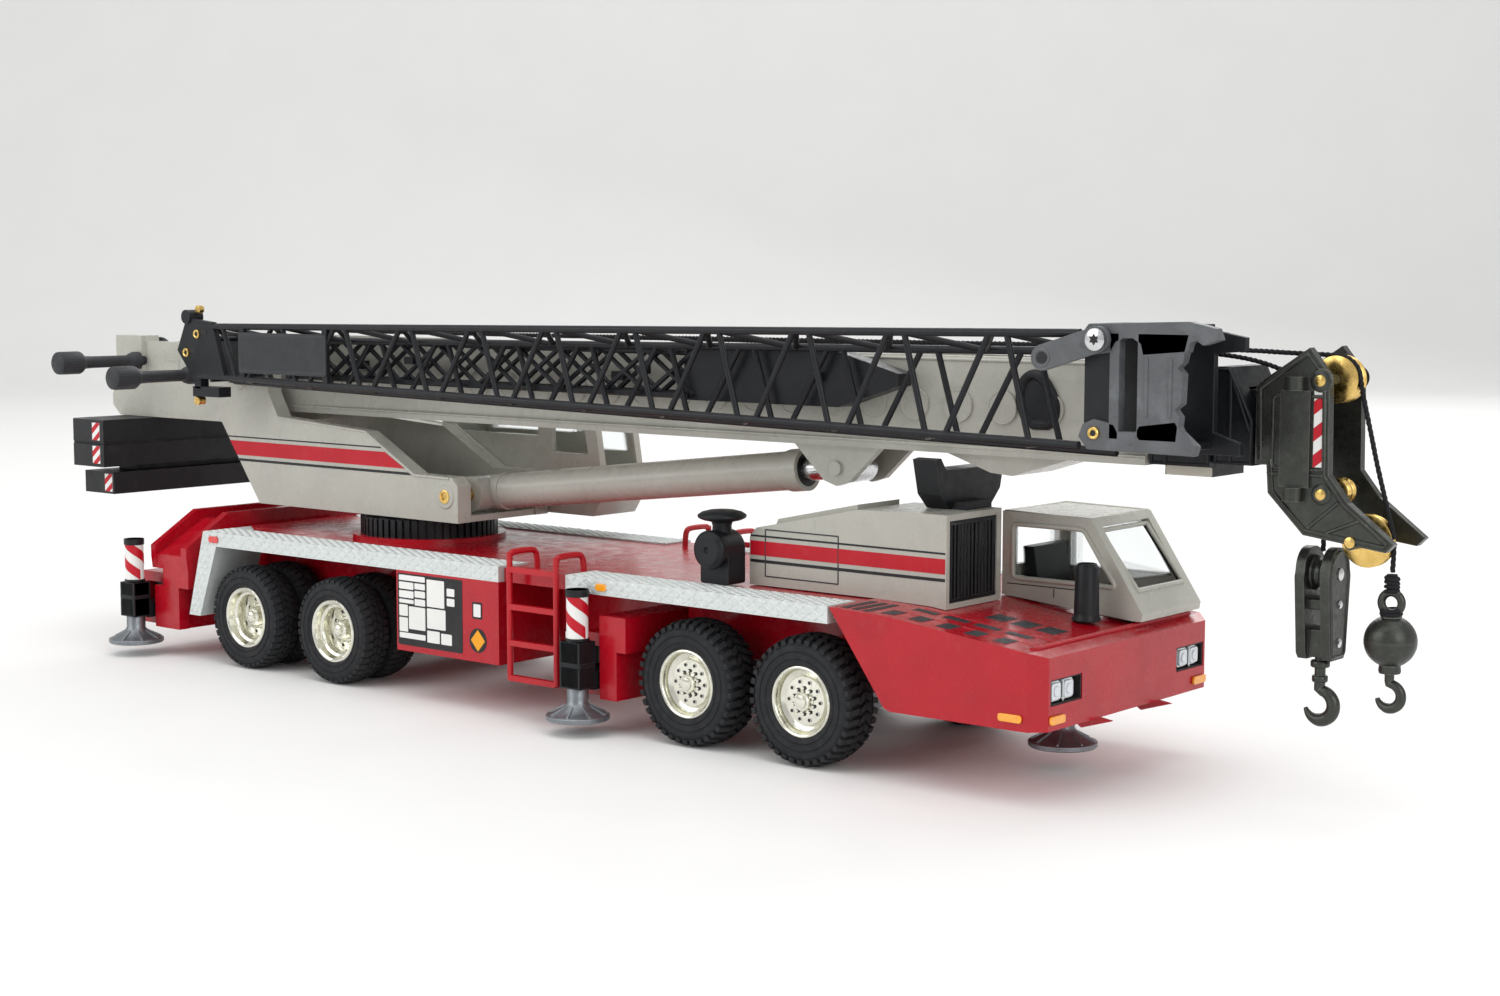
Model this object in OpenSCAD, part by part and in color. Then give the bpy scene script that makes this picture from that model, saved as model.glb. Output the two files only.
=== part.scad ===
// Toy mobile crane, 1:50 scale: four-axle carrier, slewing superstructure, telescopic boom
// with a stowed lattice jib, hook block and hook ball.
// Frame: +X forward, +Y to the carrier's left, +Z up, ground at z = 0.
// Lengthwise stations inside modules run from the bumper face (x = 0) rearward as negative
// numbers; at_bumper() moves them to the model frame.

/* [Carrier] */
// Distance of the bumper face ahead of the origin
front_x = 100.4; // [90:0.1:110]
// Overall body width
body_w = 51.8; // [51:0.1:53]
// Height of the deck surface
deck_top = 26.6; // [26:0.1:27]
// Thickness of the deck edge
deck_t = 2.7; // [2:0.1:3]

/* [Wheels] */
// Diameter of the front tyres
front_tyre_d = 21.3; // [20:0.1:21.5]
// Diameter of the rear tyres
rear_tyre_d = 20.5; // [20:0.1:21]
// Width of a front tyre
front_tyre_w = 7.5; // [6:0.1:8]
// Width of one rear tyre of a pair
rear_tyre_w = 6; // [5:0.1:6.2]
// Gap between the two tyres of a rear pair
dual_gap = 1.5; // [1:0.1:2]
// Width over the tyres
track_outer = 50.8; // [50:0.1:51.4]
// Axle shaft diameter
shaft_d = 3; // [2:0.1:3.4]

/* [Outriggers] */
// Radius of a jack pad
pad_r = 5.5; // [4:0.1:5.6]
// Height of the jack pads above the ground when stowed
pad_z = 2.5; // [1:0.1:4]
// Distance of a jack from the centre line when stowed
jack_y = 28.3; // [28.2:0.1:29]

/* [Superstructure] */
// Distance of the slewing axis behind the bumper
slew_back = 158.7; // [158:0.1:160]
// Radius of the toothed slewing ring
slew_r = 13.5; // [12:0.1:14]
// Half width over the two side plates
super_half_w = 12; // [11.5:0.1:12]
// Thickness of a side plate
side_plate_t = 3.4; // [2:0.1:3.4]
// Half width of the counterweight
weight_half_w = 25; // [20:0.5:25]

/* [Boom] */
// Half width of the base section
boom_half_w = 6; // [5.5:0.1:6]
// Height of the boom's underside
boom_bottom = 50; // [49.8:0.1:50.2]
// Height of the boom's top
boom_top = 65.4; // [65:0.1:66]
// Lift cylinder diameter
cylinder_d = 6.8; // [5:0.1:7]

/* [Jib] */
// Diameter of the four main tubes
chord_d = 1.3; // [1:0.1:1.5]
// Diameter of the lacing bars
lacing_d = 1.0; // [0.8:0.1:1.2]
// Number of lacing bays
jib_bays = 10; // [6:1:10]
// Distance from one bay to the next
jib_pitch = 18.5; // [17:0.1:18.5]

/* [Ropes] */
// Hoist rope diameter
rope_d = 0.8; // [0.6:0.1:1]

/* [Hidden] */
$fn = 48;
fit = 0.05;                 // radial running clearance of a turning pin
gap = 0.35;                 // clearance between sliding flat faces
axle_back = [45.2, 69.4, 158.9, 185.3];
front_axle_z = front_tyre_d / 2;
rear_axle_z = rear_tyre_d / 2;
shaft_r = shaft_d / 2;
half_w = body_w / 2;
tyre_out = track_outer / 2;
deck_low = deck_top - deck_t;
front_rim_r = 5.87;
rear_rim_r = 6.1;
kingpin_r = 1.6;
spine_z = 13.6;             // underside of the frame spine
plate_in = super_half_w - side_plate_t;
super_z = 31.3;             // underside of the superstructure
ring_z = [27.3, 30.8];      // slewing ring, bottom and top
spigot_r = 5;
// Pivots of the superstructure and the boom: station and height
boom_pivot = [-203, 58.5];
foot_pin = [-141, 36.2];
rod_pin = [-53, 46.2];
front_winch_at = [-216, 57];
rear_winch_at = [-235, 59.5];
top_sheave_at = [33.2, 63.5];
guide_sheave_at = [33.6, 47.4];
nose_sheave_at = [38.2, 40.6];
block_x = 31.3;
ball_at = [41.9, 26.5];
link_pin = [7.5, 69.2];
rear_jack_x = -217;
mid_jack_x = -91;
front_jack_x = -12;
hood_front = -25.2;
housing_w = 4.6;            // width of a jack housing and of its beam
beam_h = 3;
beam_len = 48;
lift_dx = rod_pin[0] - foot_pin[0];
lift_dz = rod_pin[1] - foot_pin[1];
lift_len = sqrt(lift_dx * lift_dx + lift_dz * lift_dz);
lift_tilt = atan2(lift_dz, lift_dx);
barrel_len = 78;
jib_near_y = -22.4;
jib_far_y = -13.4;
jib_drop = 2.9;             // the boom-side tubes lie lower than the outer ones
jib_first_node = -10.4;
rope_r = rope_d / 2;

// ---- helpers ----
module at_bumper() {
  translate([front_x, 0, 0]) children();
}

module bar(x, y, z) {
  translate([x[0], y[0], z[0]]) cube([x[1] - x[0], y[1] - y[0], z[1] - z[0]]);
}

module both_sides() {
  children();
  mirror([0, 1, 0]) children();
}

// A flat plate in the XZ plane between two y values
module side_plate(points, y) {
  translate([0, y[1], 0]) rotate([90, 0, 0]) linear_extrude(y[1] - y[0]) polygon(points);
}

// A flat plate in the YZ plane between two x values
module cross_plate(points, x) {
  translate([x[0], 0, 0]) rotate([90, 0, 90]) linear_extrude(x[1] - x[0]) polygon(points);
}

// A round bar along Y
module cross_bar(at, r, y) {
  translate([at[0], y[1], at[1]]) rotate([90, 0, 0]) cylinder(h = y[1] - y[0], r = r);
}

module post(x, y, r, z) {
  translate([x, y, z[0]]) cylinder(h = z[1] - z[0], r = r);
}

// A straight six-sided bar between two points
module strut(p, q, d) {
  v = q - p;
  len = norm(v);
  translate(p) rotate([0, acos(v[2] / len), atan2(v[1], v[0])]) cylinder(h = len, d = d, $fn = 6);
}

// One closed tube swept along a route of points
module swept_rope(route, r, sides = 8) {
  last = len(route) - 1;
  function heading(i) = route[min(i + 1, last)] - route[max(i - 1, 0)];
  function across(i) = let (h = heading(i) / norm(heading(i))) [-h[2], 0, h[0]];
  function ring(i) = [for (k = [0 : sides - 1])
    route[i] + r * cos(360 * k / sides) * [0, 1, 0] + r * sin(360 * k / sides) * across(i)];
  points = [for (i = [0 : last]) for (p = ring(i)) p];
  walls = [for (i = [0 : last - 1]) for (k = [0 : sides - 1])
    [(i + 1) * sides + k, (i + 1) * sides + (k + 1) % sides,
     i * sides + (k + 1) % sides, i * sides + k]];
  start = [[for (k = [0 : sides - 1]) k]];
  finish = [[for (k = [sides - 1 : -1 : 0]) last * sides + k]];
  polyhedron(points, concat(walls, start, finish), convexity = 4);
}

// Points of a circular arc in an XZ plane at the given y, angles from +X towards +Z
function arc(at, r, from, to, steps, y) =
  [for (i = [0 : steps]) let (a = from + (to - from) * i / steps)
    [at[0] + r * cos(a), y, at[1] + r * sin(a)]];

// ---- carrier ----
module front_body() {
  corner = 2.25;
  intersection() {
    side_plate([[0, 11.5], [0, 22.5], [-2.3, 23.3], [-27.8, 26.2], [-38.4, deck_top],
                [-38.9, deck_top], [-28.2, 11.9], [-27, 11.5]], [-half_w, half_w]);
    translate([0, 0, 5]) linear_extrude(30)
      polygon([[0, -half_w + corner], [-corner, -half_w], [-45, -half_w], [-45, half_w],
               [-corner, half_w], [0, half_w - corner]]);
  }
  // Raised lip over the bumper and the two tow fins under it
  bar([-3.4, -2.6], [-23.5, 23.5], [23, 23.7]);
  for (y = [-9, 9])
    side_plate([[0, 11.5], [2.2, 11.2], [-3, 9.6], [-6, 11.5]], [y - 0.4, y + 0.4]);
}

module outrigger_tunnels(jack_x, z) {
  half = housing_w / 2 + gap;
  bar([jack_x - half, jack_x + half], [-30, 30], [z - gap, z + beam_h + gap]);
  bar([jack_x - half, jack_x + half], [-30, 30], [z + beam_h + 0.6 - gap, z + 2 * beam_h + 0.6 + gap]);
}

module mid_cross_box() {
  recess_y = 23.4;
  difference() {
    union() {
      bar([-94.9, -84.2], [-recess_y, recess_y], [6, 16.8]);
      bar([-88.1, -82.1], [-recess_y, recess_y], [14.4, 20.4]);
      both_sides() {
        bar([-88.1, -84.2], [-half_w, -recess_y], [6, 14.4]);
        bar([-88.1, -82.1], [-half_w, -recess_y], [14.4, 20.4]);
      }
    }
    outrigger_tunnels(mid_jack_x, 7.6);
  }
}

// The rear cross box has two cheeks that slope down to each side with a floor between them
module rear_cross_box() {
  recess_y = 23.4;
  cheek = [[-15.5, 29.2], [-26.2, 22.7], [-26.2, 20.5], [-half_w, 18], [half_w, 18],
           [26.2, 20.5], [26.2, 22.7], [15.5, 29.2]];
  floor_drop = 1.8;
  floor_points = [[-14.5, 29.2 - floor_drop], [-26, 22.7 - floor_drop], [-half_w, 18],
                  [half_w, 18], [26, 22.7 - floor_drop], [14.5, 29.2 - floor_drop]];
  difference() {
    union() {
      bar([-220.9, -206], [-recess_y, recess_y], [5.8, 16.6]);
      bar([-214.2, -202.4], [-recess_y, recess_y], [14.4, 21]);
      both_sides() {
        bar([-213.6, -205.6], [-half_w, -recess_y], [5.8, 14.4]);
        bar([-210.7, -202.4], [-half_w, -recess_y], [14.4, 21]);
      }
      cross_plate(cheek, [-204.2, -202.4]);
      cross_plate(cheek, [-214.2, -212.6]);
      cross_plate(floor_points, [-213, -203]);
    }
    outrigger_tunnels(rear_jack_x, 7.6);
  }
}

module chassis() {
  bracket_half = 3.5;
  color("firebrick") at_bumper() difference() {
    union() {
      front_body();
      bar([-80, -20], [-12, 12], [spine_z, deck_low + 1]);
      bar([-206, -80], [-9.8, 9.8], [spine_z, deck_low + 1]);
      bar([-192.9, -38], [-18.4, 18.4], [deck_low, deck_top - 0.2]);
      bar([-200, -192.9], [-13.8, 13.8], [deck_low, deck_top - 0.2]);
      bar([-112.4, -96.3], [-24.6, 24.6], [deck_low, deck_top - 0.2]);
      mid_cross_box();
      rear_cross_box();
      // Tool boxes between the wheel groups
      both_sides() bar([-139.5, -112.6], [-half_w, -9], [9, deck_low]);
      for (d = [axle_back[2], axle_back[3]])
        bar([-d - bracket_half, -d + bracket_half], [-9.5, 9.5], [7.2, spine_z + 1]);
      post(-slew_back, 0, slew_r + 1.6, [deck_top - 1, 27.3]);
    }
    outrigger_tunnels(mid_jack_x, 7.6);
    for (d = [axle_back[2], axle_back[3]])
      cross_bar([-d, rear_axle_z], shaft_r + fit, [-12, 12]);
    for (d = [axle_back[0], axle_back[1]])
      post(-d, 0, kingpin_r + fit, [10, 18]);
    post(-slew_back, 0, spigot_r + 0.3, [22, 32]);
    post(front_jack_x, 0, 1.6 + fit, [5, 20]);
    // Lamp recesses in the bumper
    both_sides() bar([-1.6, 1], [-23.1, -14.3], [15.2, 19.1]);
    // Cab footwell and grille pocket
    bar([-26.5, -3.5], [7.5, 22.5], [18, 30]);
  }
}

module deck_plates() {
  inner = 18.6;
  color("gainsboro") at_bumper() both_sides() {
    bar([-197.1, -112.6], [-half_w, -inner], [deck_low, deck_top + 0.1]);
    bar([-96.1, -39.2], [-half_w, -inner], [deck_low, deck_top + 0.1]);
    side_plate([[-197.1, deck_top + 0.1], [-193, deck_low], [-198.6, 9.4], [-202.2, 9.4]],
               [-half_w, -14]);
  }
}

module ladder() {
  y = -26.9;
  tube = 1.1;
  rails = [-108.8, -97.4];
  for (x = rails) {
    strut([x, y, 7.2], [x, y, 29.4], tube);
    strut([x, y, 29.4], [x, y + 1.2, 30.2], tube);
    strut([x, y + 1.2, 30.2], [x, y + 6.4, 30.2], tube);
    strut([x, y + 6.4, 30.2], [x, y + 6.9, deck_top - 0.2], tube);
  }
  for (z = [7.4, 13.7, 20.1, 26.7])
    strut([rails[0], y, z], [rails[1], y, z], tube);
}

module ladders() {
  color("red") at_bumper() both_sides() ladder();
}

module cab_outline(inset) {
  polygon([[-27.3 + inset, 26.3], [-27.3 + inset, 40 - inset], [-10.7 - inset * 0.5, 39.7 - inset],
           [-1.2 - inset, 25.4], [-1.4 - inset, 24.2], [-3 - inset, 24.2]]);
}

module carrier_cab() {
  near = 5.4;
  far = 24.2;
  wall = 1;
  color("lightgray") at_bumper() difference() {
    translate([0, far, 0]) rotate([90, 0, 0]) linear_extrude(far - near) cab_outline(0);
    translate([0, far - wall, 0]) rotate([90, 0, 0]) linear_extrude(far - near - 2 * wall)
      cab_outline(wall);
    bar([-26, -4], [near + wall, far - wall], [20, 27]);
    // Side windows on both flanks
    side_plate([[-25.2, 29.2], [-25.2, 38], [-12, 38], [-6, 29.2]], [near - 1, far + 1]);
    // Windscreen
    side_plate([[-12, 37.6], [-5, 41], [3, 30], [-5.6, 28]], [near + 2, far - 2]);
    // Rear window
    bar([-30, -26], [near + 3, far - 3], [31, 37.5]);
  }
}

module carrier_cab_glass() {
  t = 0.35;
  color("lightblue", 0.4) at_bumper() {
    for (y = [6.0, 23.2])
      side_plate([[-25.1, 29.3], [-25.1, 37.9], [-12.1, 37.9], [-6.2, 29.3]], [y, y + t]);
    side_plate([[-11.4, 37.6], [-11, 38.2], [-4.9, 28.8], [-5.4, 28.4]], [7.5, 22.1]);
    bar([-26.9, -26.5], [8.5, 21.1], [31.1, 37.4]);
  }
}

module carrier_cab_interior() {
  color("dimgray") at_bumper() {
    bar([-25, -18], [9, 20], [18.2, 25.6]);
    side_plate([[-25, 25.6], [-22, 25.6], [-23.6, 34], [-25.6, 34]], [9, 20]);
    side_plate([[-9, 18.2], [-4.2, 18.2], [-4.2, 26], [-7.5, 28], [-9, 27.4]], [8, 22]);
    translate([-11.4, 15, 28.2]) rotate([0, -55, 0]) rotate_extrude()
      translate([2.3, 0]) circle(r = 0.35, $fn = 16);
    translate([-11.4, 15, 28.2]) rotate([0, -55, 0]) cylinder(h = 0.4, r = 2.1);
    strut([-11.3, 15, 28], [-8, 15, 25.6], 0.8);
  }
}

module engine_hood() {
  near = -13.7;
  far = 1.8;
  color("lightgray") at_bumper() {
    difference() {
      side_plate([[-65, deck_top], [-65, 34.6], [-63.6, 36.2], [-42.6, 40.6], [-31.4, 40.9],
                  [hood_front, 40.9], [hood_front, 26], [-27.8, 26.3], [-38.4, deck_top]],
                 [near, far]);
      // The radiator stands in this pocket
      bar([hood_front - 1.4, hood_front + 1], [near + 0.9, far - 1.3], [26.9, 39.9]);
    }
    side_plate([[-61, 36.6], [-44, 40.2], [-44, 41.2], [-60.5, 37.7]], [near + 2, far - 2]);
  }
}

// Black ribbed radiator in the hood's front, and the boom cradle on top of the hood
module radiator_grille() {
  rib_pitch = 1.2;
  y = [-12.7, 0.4];
  color("dimgray") at_bumper() {
    difference() {
      bar([hood_front - 1.3, hood_front - 0.2], y, [27, 39.8]);
      for (i = [0 : 9])
        bar([hood_front - 0.7, hood_front], [y[0] + 0.8 + i * rib_pitch,
            y[0] + 1.4 + i * rib_pitch], [27.6, 39.2]);
    }
    // The boom sits between the two low horns of the cradle
    cross_plate([[-6, 40.9], [-8.6, 43.4], [-10, 49], [-8.4, 49.2], [-6.9, 47.2], [6.9, 47.2],
                 [8.4, 49.2], [10, 49], [8.6, 43.4], [6, 40.9]], [-34.4, -30]);
    bar([-31.2, -27], [-5.6, 1.6], [40.9, 42.2]);
  }
}

module air_cleaner() {
  at = [-68.6, 32.6];
  color("dimgray") at_bumper() {
    bar([at[0] - 3.2, at[0] + 3.2], [-18.4, -14.2], [deck_top + 0.1, at[1] + 2.6]);
    cross_bar(at, 3.2, [-19.6, -14.4]);
    cross_bar(at, 2.5, [-20.4, -19.6]);
    post(at[0], -16.6, 1.4, [35, 37.6]);
    post(at[0], -16.6, 3, [37.4, 38.8]);
    // Exhaust stack beside the cab
    post(-8.4, 0.6, 1.8, [24.6, 33]);
    post(-8.4, 0.6, 1.3, [33, 34.4]);
  }
}

module lamps() {
  color("orange") at_bumper() {
    both_sides() {
      bar([-1.5, -0.5], [-22.9, -14.5], [15.4, 18.9]);
      for (y = [-20.9, -16.6])
        translate([-0.5, y, 17.15]) rotate([0, 90, 0]) cylinder(h = 0.45, r = 1.5);
      bar([0.02, 0.5], [-23.5, -19.6], [12.5, 13.7]);
      bar([-7, -3.3], [-half_w - 0.4, -half_w], [12.8, 13.9]);
      bar([-88.8, -87], [-half_w - 0.3, -half_w], [24.8, 25.8]);
      bar([-194.4, -192.4], [-half_w - 0.3, -half_w], [24.8, 25.8]);
    }
  }
}

module slew_gear() {
  teeth = 56;
  color("dimgray") at_bumper() translate([-slew_back, 0, ring_z[0]])
    linear_extrude(ring_z[1] - ring_z[0]) difference() {
      circle(r = slew_r, $fn = 96);
      circle(r = spigot_r + 0.3);
      for (i = [0 : teeth - 1])
        rotate(360 * i / teeth) translate([slew_r - 0.7, -0.3]) square([1, 0.6]);
    }
}

module steer_beam(k) {
  color("gray") at_bumper() translate([-axle_back[k], 0, 0]) {
    difference() {
      bar([-3.2, 3.2], [-13.4, 13.4], [7.6, spine_z - 0.4]);
      cross_bar([0, front_axle_z], shaft_r + fit, [-14, 14]);
    }
    post(0, 0, kingpin_r, [spine_z - 0.4, 17.6]);
  }
}

// Rim outlines are turned about the axle: radius against distance from the centre line
module front_rim() {
  inner = tyre_out - front_tyre_w + 0.4;
  outer = tyre_out - 0.3;
  rotate([90, 0, 0]) rotate_extrude() polygon([
    [0, inner], [front_rim_r, inner], [front_rim_r, outer], [front_rim_r - 0.7, outer],
    [4.4, outer - 1.5], [1.9, outer - 1.5], [1.9, outer - 0.5], [1.2, outer - 0.2],
    [0, outer - 0.2]]);
}

module rear_rim() {
  inner = tyre_out - 2 * rear_tyre_w - dual_gap + 0.4;
  outer = tyre_out - 0.3;
  rotate([90, 0, 0]) rotate_extrude() polygon([
    [0, inner], [rear_rim_r, inner], [rear_rim_r, outer], [rear_rim_r - 0.7, outer],
    [4.6, outer - 1], [4.3, outer - 3.2], [1.6, outer - 3.2], [1.6, outer - 1.8],
    [0.9, outer - 1.4], [0, outer - 1.4]]);
}

module wheelset(k) {
  front = k < 2;
  z = front ? front_axle_z : rear_axle_z;
  reach = front ? tyre_out - front_tyre_w + 1 : tyre_out - 2 * rear_tyre_w - dual_gap + 1;
  color("silver") at_bumper() translate([-axle_back[k], 0, z]) {
    rotate([90, 0, 0]) cylinder(h = 2 * reach, r = shaft_r, center = true);
    for (turn = [0, 180]) rotate(turn)
      if (front) front_rim(); else rear_rim();
  }
}

module tyre(outer_r, rim_r, inner_y, outer_y) {
  shoulder = 0.9;
  rotate([90, 0, 0]) rotate_extrude() polygon([
    [rim_r, inner_y], [outer_r - 2, inner_y], [outer_r - shoulder, inner_y + 0.3],
    [outer_r, inner_y + shoulder], [outer_r, outer_y - shoulder],
    [outer_r - shoulder, outer_y - 0.3], [outer_r - 2, outer_y], [rim_r, outer_y]]);
}

module tyres(k) {
  front = k < 2;
  color("dimgray") at_bumper()
    translate([-axle_back[k], 0, front ? front_axle_z : rear_axle_z])
      for (turn = [0, 180]) rotate(turn)
        if (front) {
          tyre(front_tyre_d / 2, front_rim_r, tyre_out - front_tyre_w, tyre_out);
        } else {
          tyre(rear_tyre_d / 2, rear_rim_r, tyre_out - rear_tyre_w, tyre_out);
          tyre(rear_tyre_d / 2, rear_rim_r, tyre_out - 2 * rear_tyre_w - dual_gap,
               tyre_out - rear_tyre_w - dual_gap);
        }
}

// ---- outriggers: side is -1 on the right and 1 on the left ----
module outrigger_beam(jack_x, side, top) {
  z = side < 0 ? 7.6 : 7.6 + beam_h + 0.6;
  face_y = 26.3;
  tube_r = 1.85;
  color("dimgray") at_bumper() mirror([0, side > 0 ? 1 : 0, 0]) {
    difference() {
      union() {
        bar([jack_x - housing_w / 2, jack_x + housing_w / 2],
            [-face_y - 0.5, beam_len - face_y], [z, z + beam_h]);
        bar([jack_x - housing_w / 2, jack_x + housing_w / 2],
            [-2 * jack_y + face_y, -face_y], [8, top]);
      }
      post(jack_x, -jack_y, 1.9 + fit, [5, top - 0.4]);
    }
    post(jack_x, -jack_y, tube_r, [top, top + 8.2]);
    post(jack_x, -jack_y, tube_r + 0.2, [top + 8.2, top + 8.9]);
  }
}

module jack_leg(top) {
  stem_r = 1.9;
  translate([0, 0, pad_z]) rotate_extrude() polygon([
    [0, 0], [pad_r, 0], [pad_r, 0.9], [pad_r - 0.6, 1.2], [2.4, 2.6], [stem_r, 3],
    [stem_r, top - pad_z - 1.2], [0, top - pad_z - 1.2]]);
}

module outrigger_jack(jack_x, side, top) {
  color("silver") at_bumper() translate([jack_x, side * jack_y, 0]) jack_leg(top);
}

module front_jack() {
  color("silver") at_bumper() translate([front_jack_x, 0, 4]) rotate_extrude() polygon([
    [0, 0], [pad_r, 0], [pad_r, 0.9], [pad_r - 0.6, 1.2], [2.6, 2.4], [1.6, 2.8],
    [1.6, 15], [0, 15]]);
}

// ---- superstructure ----
module super_profile() {
  polygon([[-243.3, 64.8], [-234.2, 64.8], [-234, 63.6], [-193.2, 63.6], [-193.2, 54.1],
           [-190.2, 49.2], [-163.7, 47.5], [-149.5, 39.9], [-139.3, 39.9], [-137.7, 38.3],
           [-137.7, super_z], [-196.6, super_z], [-208.5, 47.5], [-243.9, 47.5],
           [-246.45, 49.7], [-246.45, 52], [-243.3, 56.6]]);
}

module superstructure() {
  color("lightgray") at_bumper() difference() {
    union() {
      both_sides() {
        translate([0, -plate_in, 0]) rotate([90, 0, 0]) linear_extrude(side_plate_t)
          super_profile();
        bar([-243.3, -234.2], [-super_half_w - 1, -super_half_w], [56.6, 64.8]);
        cross_bar(boom_pivot, 4.2, [-super_half_w - 0.5, -super_half_w]);
      }
      bar([-196, -138], [-plate_in, plate_in], [super_z, super_z + 1.2]);
      bar([-246, -243.6], [-plate_in, plate_in], [48, 54]);
      bar([-207.6, -199], [-plate_in, plate_in], [47.5, 50]);
      post(-slew_back, 0, spigot_r, [24, super_z]);
      post(-slew_back, 0, 10, [ring_z[1] + 0.3, super_z]);
    }
    cross_bar(boom_pivot, 1.75, [-14, 14]);
    cross_bar(foot_pin, 1.3, [-14, 14]);
    cross_bar(front_winch_at, 1.2 + fit, [-14, 14]);
    cross_bar(rear_winch_at, 1.2 + fit, [-14, 14]);
  }
}

module counterweight() {
  lower_half_w = 21.5;
  chamfer = 1.2;
  slab = [[-243.5, -weight_half_w + chamfer], [-243.5 + chamfer, -weight_half_w],
          [-231.5, -weight_half_w], [-231.5, weight_half_w],
          [-243.5 + chamfer, weight_half_w], [-243.5, weight_half_w - chamfer]];
  color("dimgray") at_bumper() {
    difference() {
      translate([0, 0, 37.5]) linear_extrude(9.9) polygon(slab);
      // Parting line between the two upper slabs
      both_sides() bar([-245, -230], [-26, -weight_half_w + 0.4], [42.2, 42.7]);
      bar([-231.8, -230], [-26, 26], [42.2, 42.7]);
    }
    bar([-243.5, -233.2], [-lower_half_w, lower_half_w], [31.5, 36.1]);
    bar([-242, -235.5], [-14, 14], [36.1, 37.5]);
  }
}

module operator_cab_outline(inset) {
  polygon([[-168 + inset, super_z + 0.2 + inset], [-168 + inset, 61.5 - inset],
           [-130 - inset, 61.5 - inset], [-126.6 - inset, 58], [-122.8 - inset, 36],
           [-125.8 - inset, super_z + 0.2 + inset]]);
}

module operator_cab() {
  near = 12.3;
  far = 24.3;
  wall = 1;
  color("lightgray") at_bumper() difference() {
    union() {
      translate([0, far, 0]) rotate([90, 0, 0]) linear_extrude(far - near)
        operator_cab_outline(0);
      bar([-167, -143], [super_half_w, near], [32, 39]);
    }
    translate([0, far - wall, 0]) rotate([90, 0, 0]) linear_extrude(far - near - 2 * wall)
      operator_cab_outline(wall);
    side_plate([[-164, 46.5], [-164, 59], [-140.5, 59], [-140.5, 46.5]], [near - 1, far + 1]);
    side_plate([[-136.6, 43.5], [-136.6, 59], [-130, 59], [-127, 43.5]], [near - 1, far + 1]);
    side_plate([[-129, 58], [-119, 58], [-119, 40], [-127, 40]], [near + 1.6, far - 1.6]);
  }
}

module operator_cab_glass() {
  t = 0.35;
  color("lightblue", 0.4) at_bumper() {
    for (y = [12.7, 23.5]) {
      side_plate([[-163.9, 46.6], [-163.9, 58.9], [-140.6, 58.9], [-140.6, 46.6]], [y, y + t]);
      side_plate([[-136.5, 43.6], [-136.5, 58.9], [-130.1, 58.9], [-127.2, 43.6]], [y, y + t]);
    }
    side_plate([[-127.2, 57.8], [-126.8, 57.8], [-123.8, 40.2], [-124.2, 40.2]], [14, 22.6]);
  }
}

module winch(at) {
  shaft_r = 1.2;
  drum_half = 8.1;
  flange_t = 0.9;
  knob_y = -24.5;
  color("dimgray") at_bumper() {
    cross_bar(at, shaft_r, [knob_y - 1, super_half_w + 1.2]);
    cross_bar(at, 3.1, [-drum_half, drum_half]);
    for (y = [-drum_half, drum_half - flange_t])
      cross_bar(at, 4.9, [y, y + flange_t]);
    cross_bar(at, 1.9, [-14.6, -super_half_w - 1.3]);
    cross_bar(at, 2.4, [-33.4, knob_y]);
  }
}

module pivot_pins() {
  color("goldenrod") at_bumper() {
    cross_bar(boom_pivot, 1.75, [-super_half_w - 0.9, super_half_w + 0.9]);
    cross_bar(foot_pin, 1.3, [-super_half_w - 0.3, super_half_w + 0.3]);
  }
}

// The cylinder lies along its own +X with the foot eye at the origin
module along_lift() {
  at_bumper() translate([foot_pin[0], 0, foot_pin[1]]) rotate([0, -lift_tilt, 0]) children();
}

module lift_cylinder() {
  r = cylinder_d / 2;
  color("lightgray") along_lift() difference() {
    union() {
      cross_bar([0, 0], r, [-6, 6]);
      rotate([0, 90, 0]) cylinder(h = barrel_len, r = r);
      translate([barrel_len - 3, 0, 0]) rotate([0, 90, 0]) cylinder(h = 3, r = r + 0.3);
    }
    cross_bar([0, 0], 1.3 + fit, [-9, 9]);
    translate([5, 0, 0]) rotate([0, 90, 0]) cylinder(h = barrel_len, r = 2 + fit);
  }
}

module lift_rod() {
  start = 7;
  color("silver") along_lift() difference() {
    union() {
      translate([start, 0, 0]) rotate([0, 90, 0]) cylinder(h = lift_len - start, r = 2);
      cross_bar([lift_len, 0], 2.7, [-2.4, 2.4]);
    }
    cross_bar([lift_len, 0], 1.5, [-9, 9]);
  }
}

// ---- boom ----
module boom_tube(x, half, z, wall) {
  difference() {
    bar(x, [-half, half], z);
    bar([x[0] - 1, x[1] + 1], [-half + wall, half - wall], [z[0] + wall, z[1] - wall]);
  }
}

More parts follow.
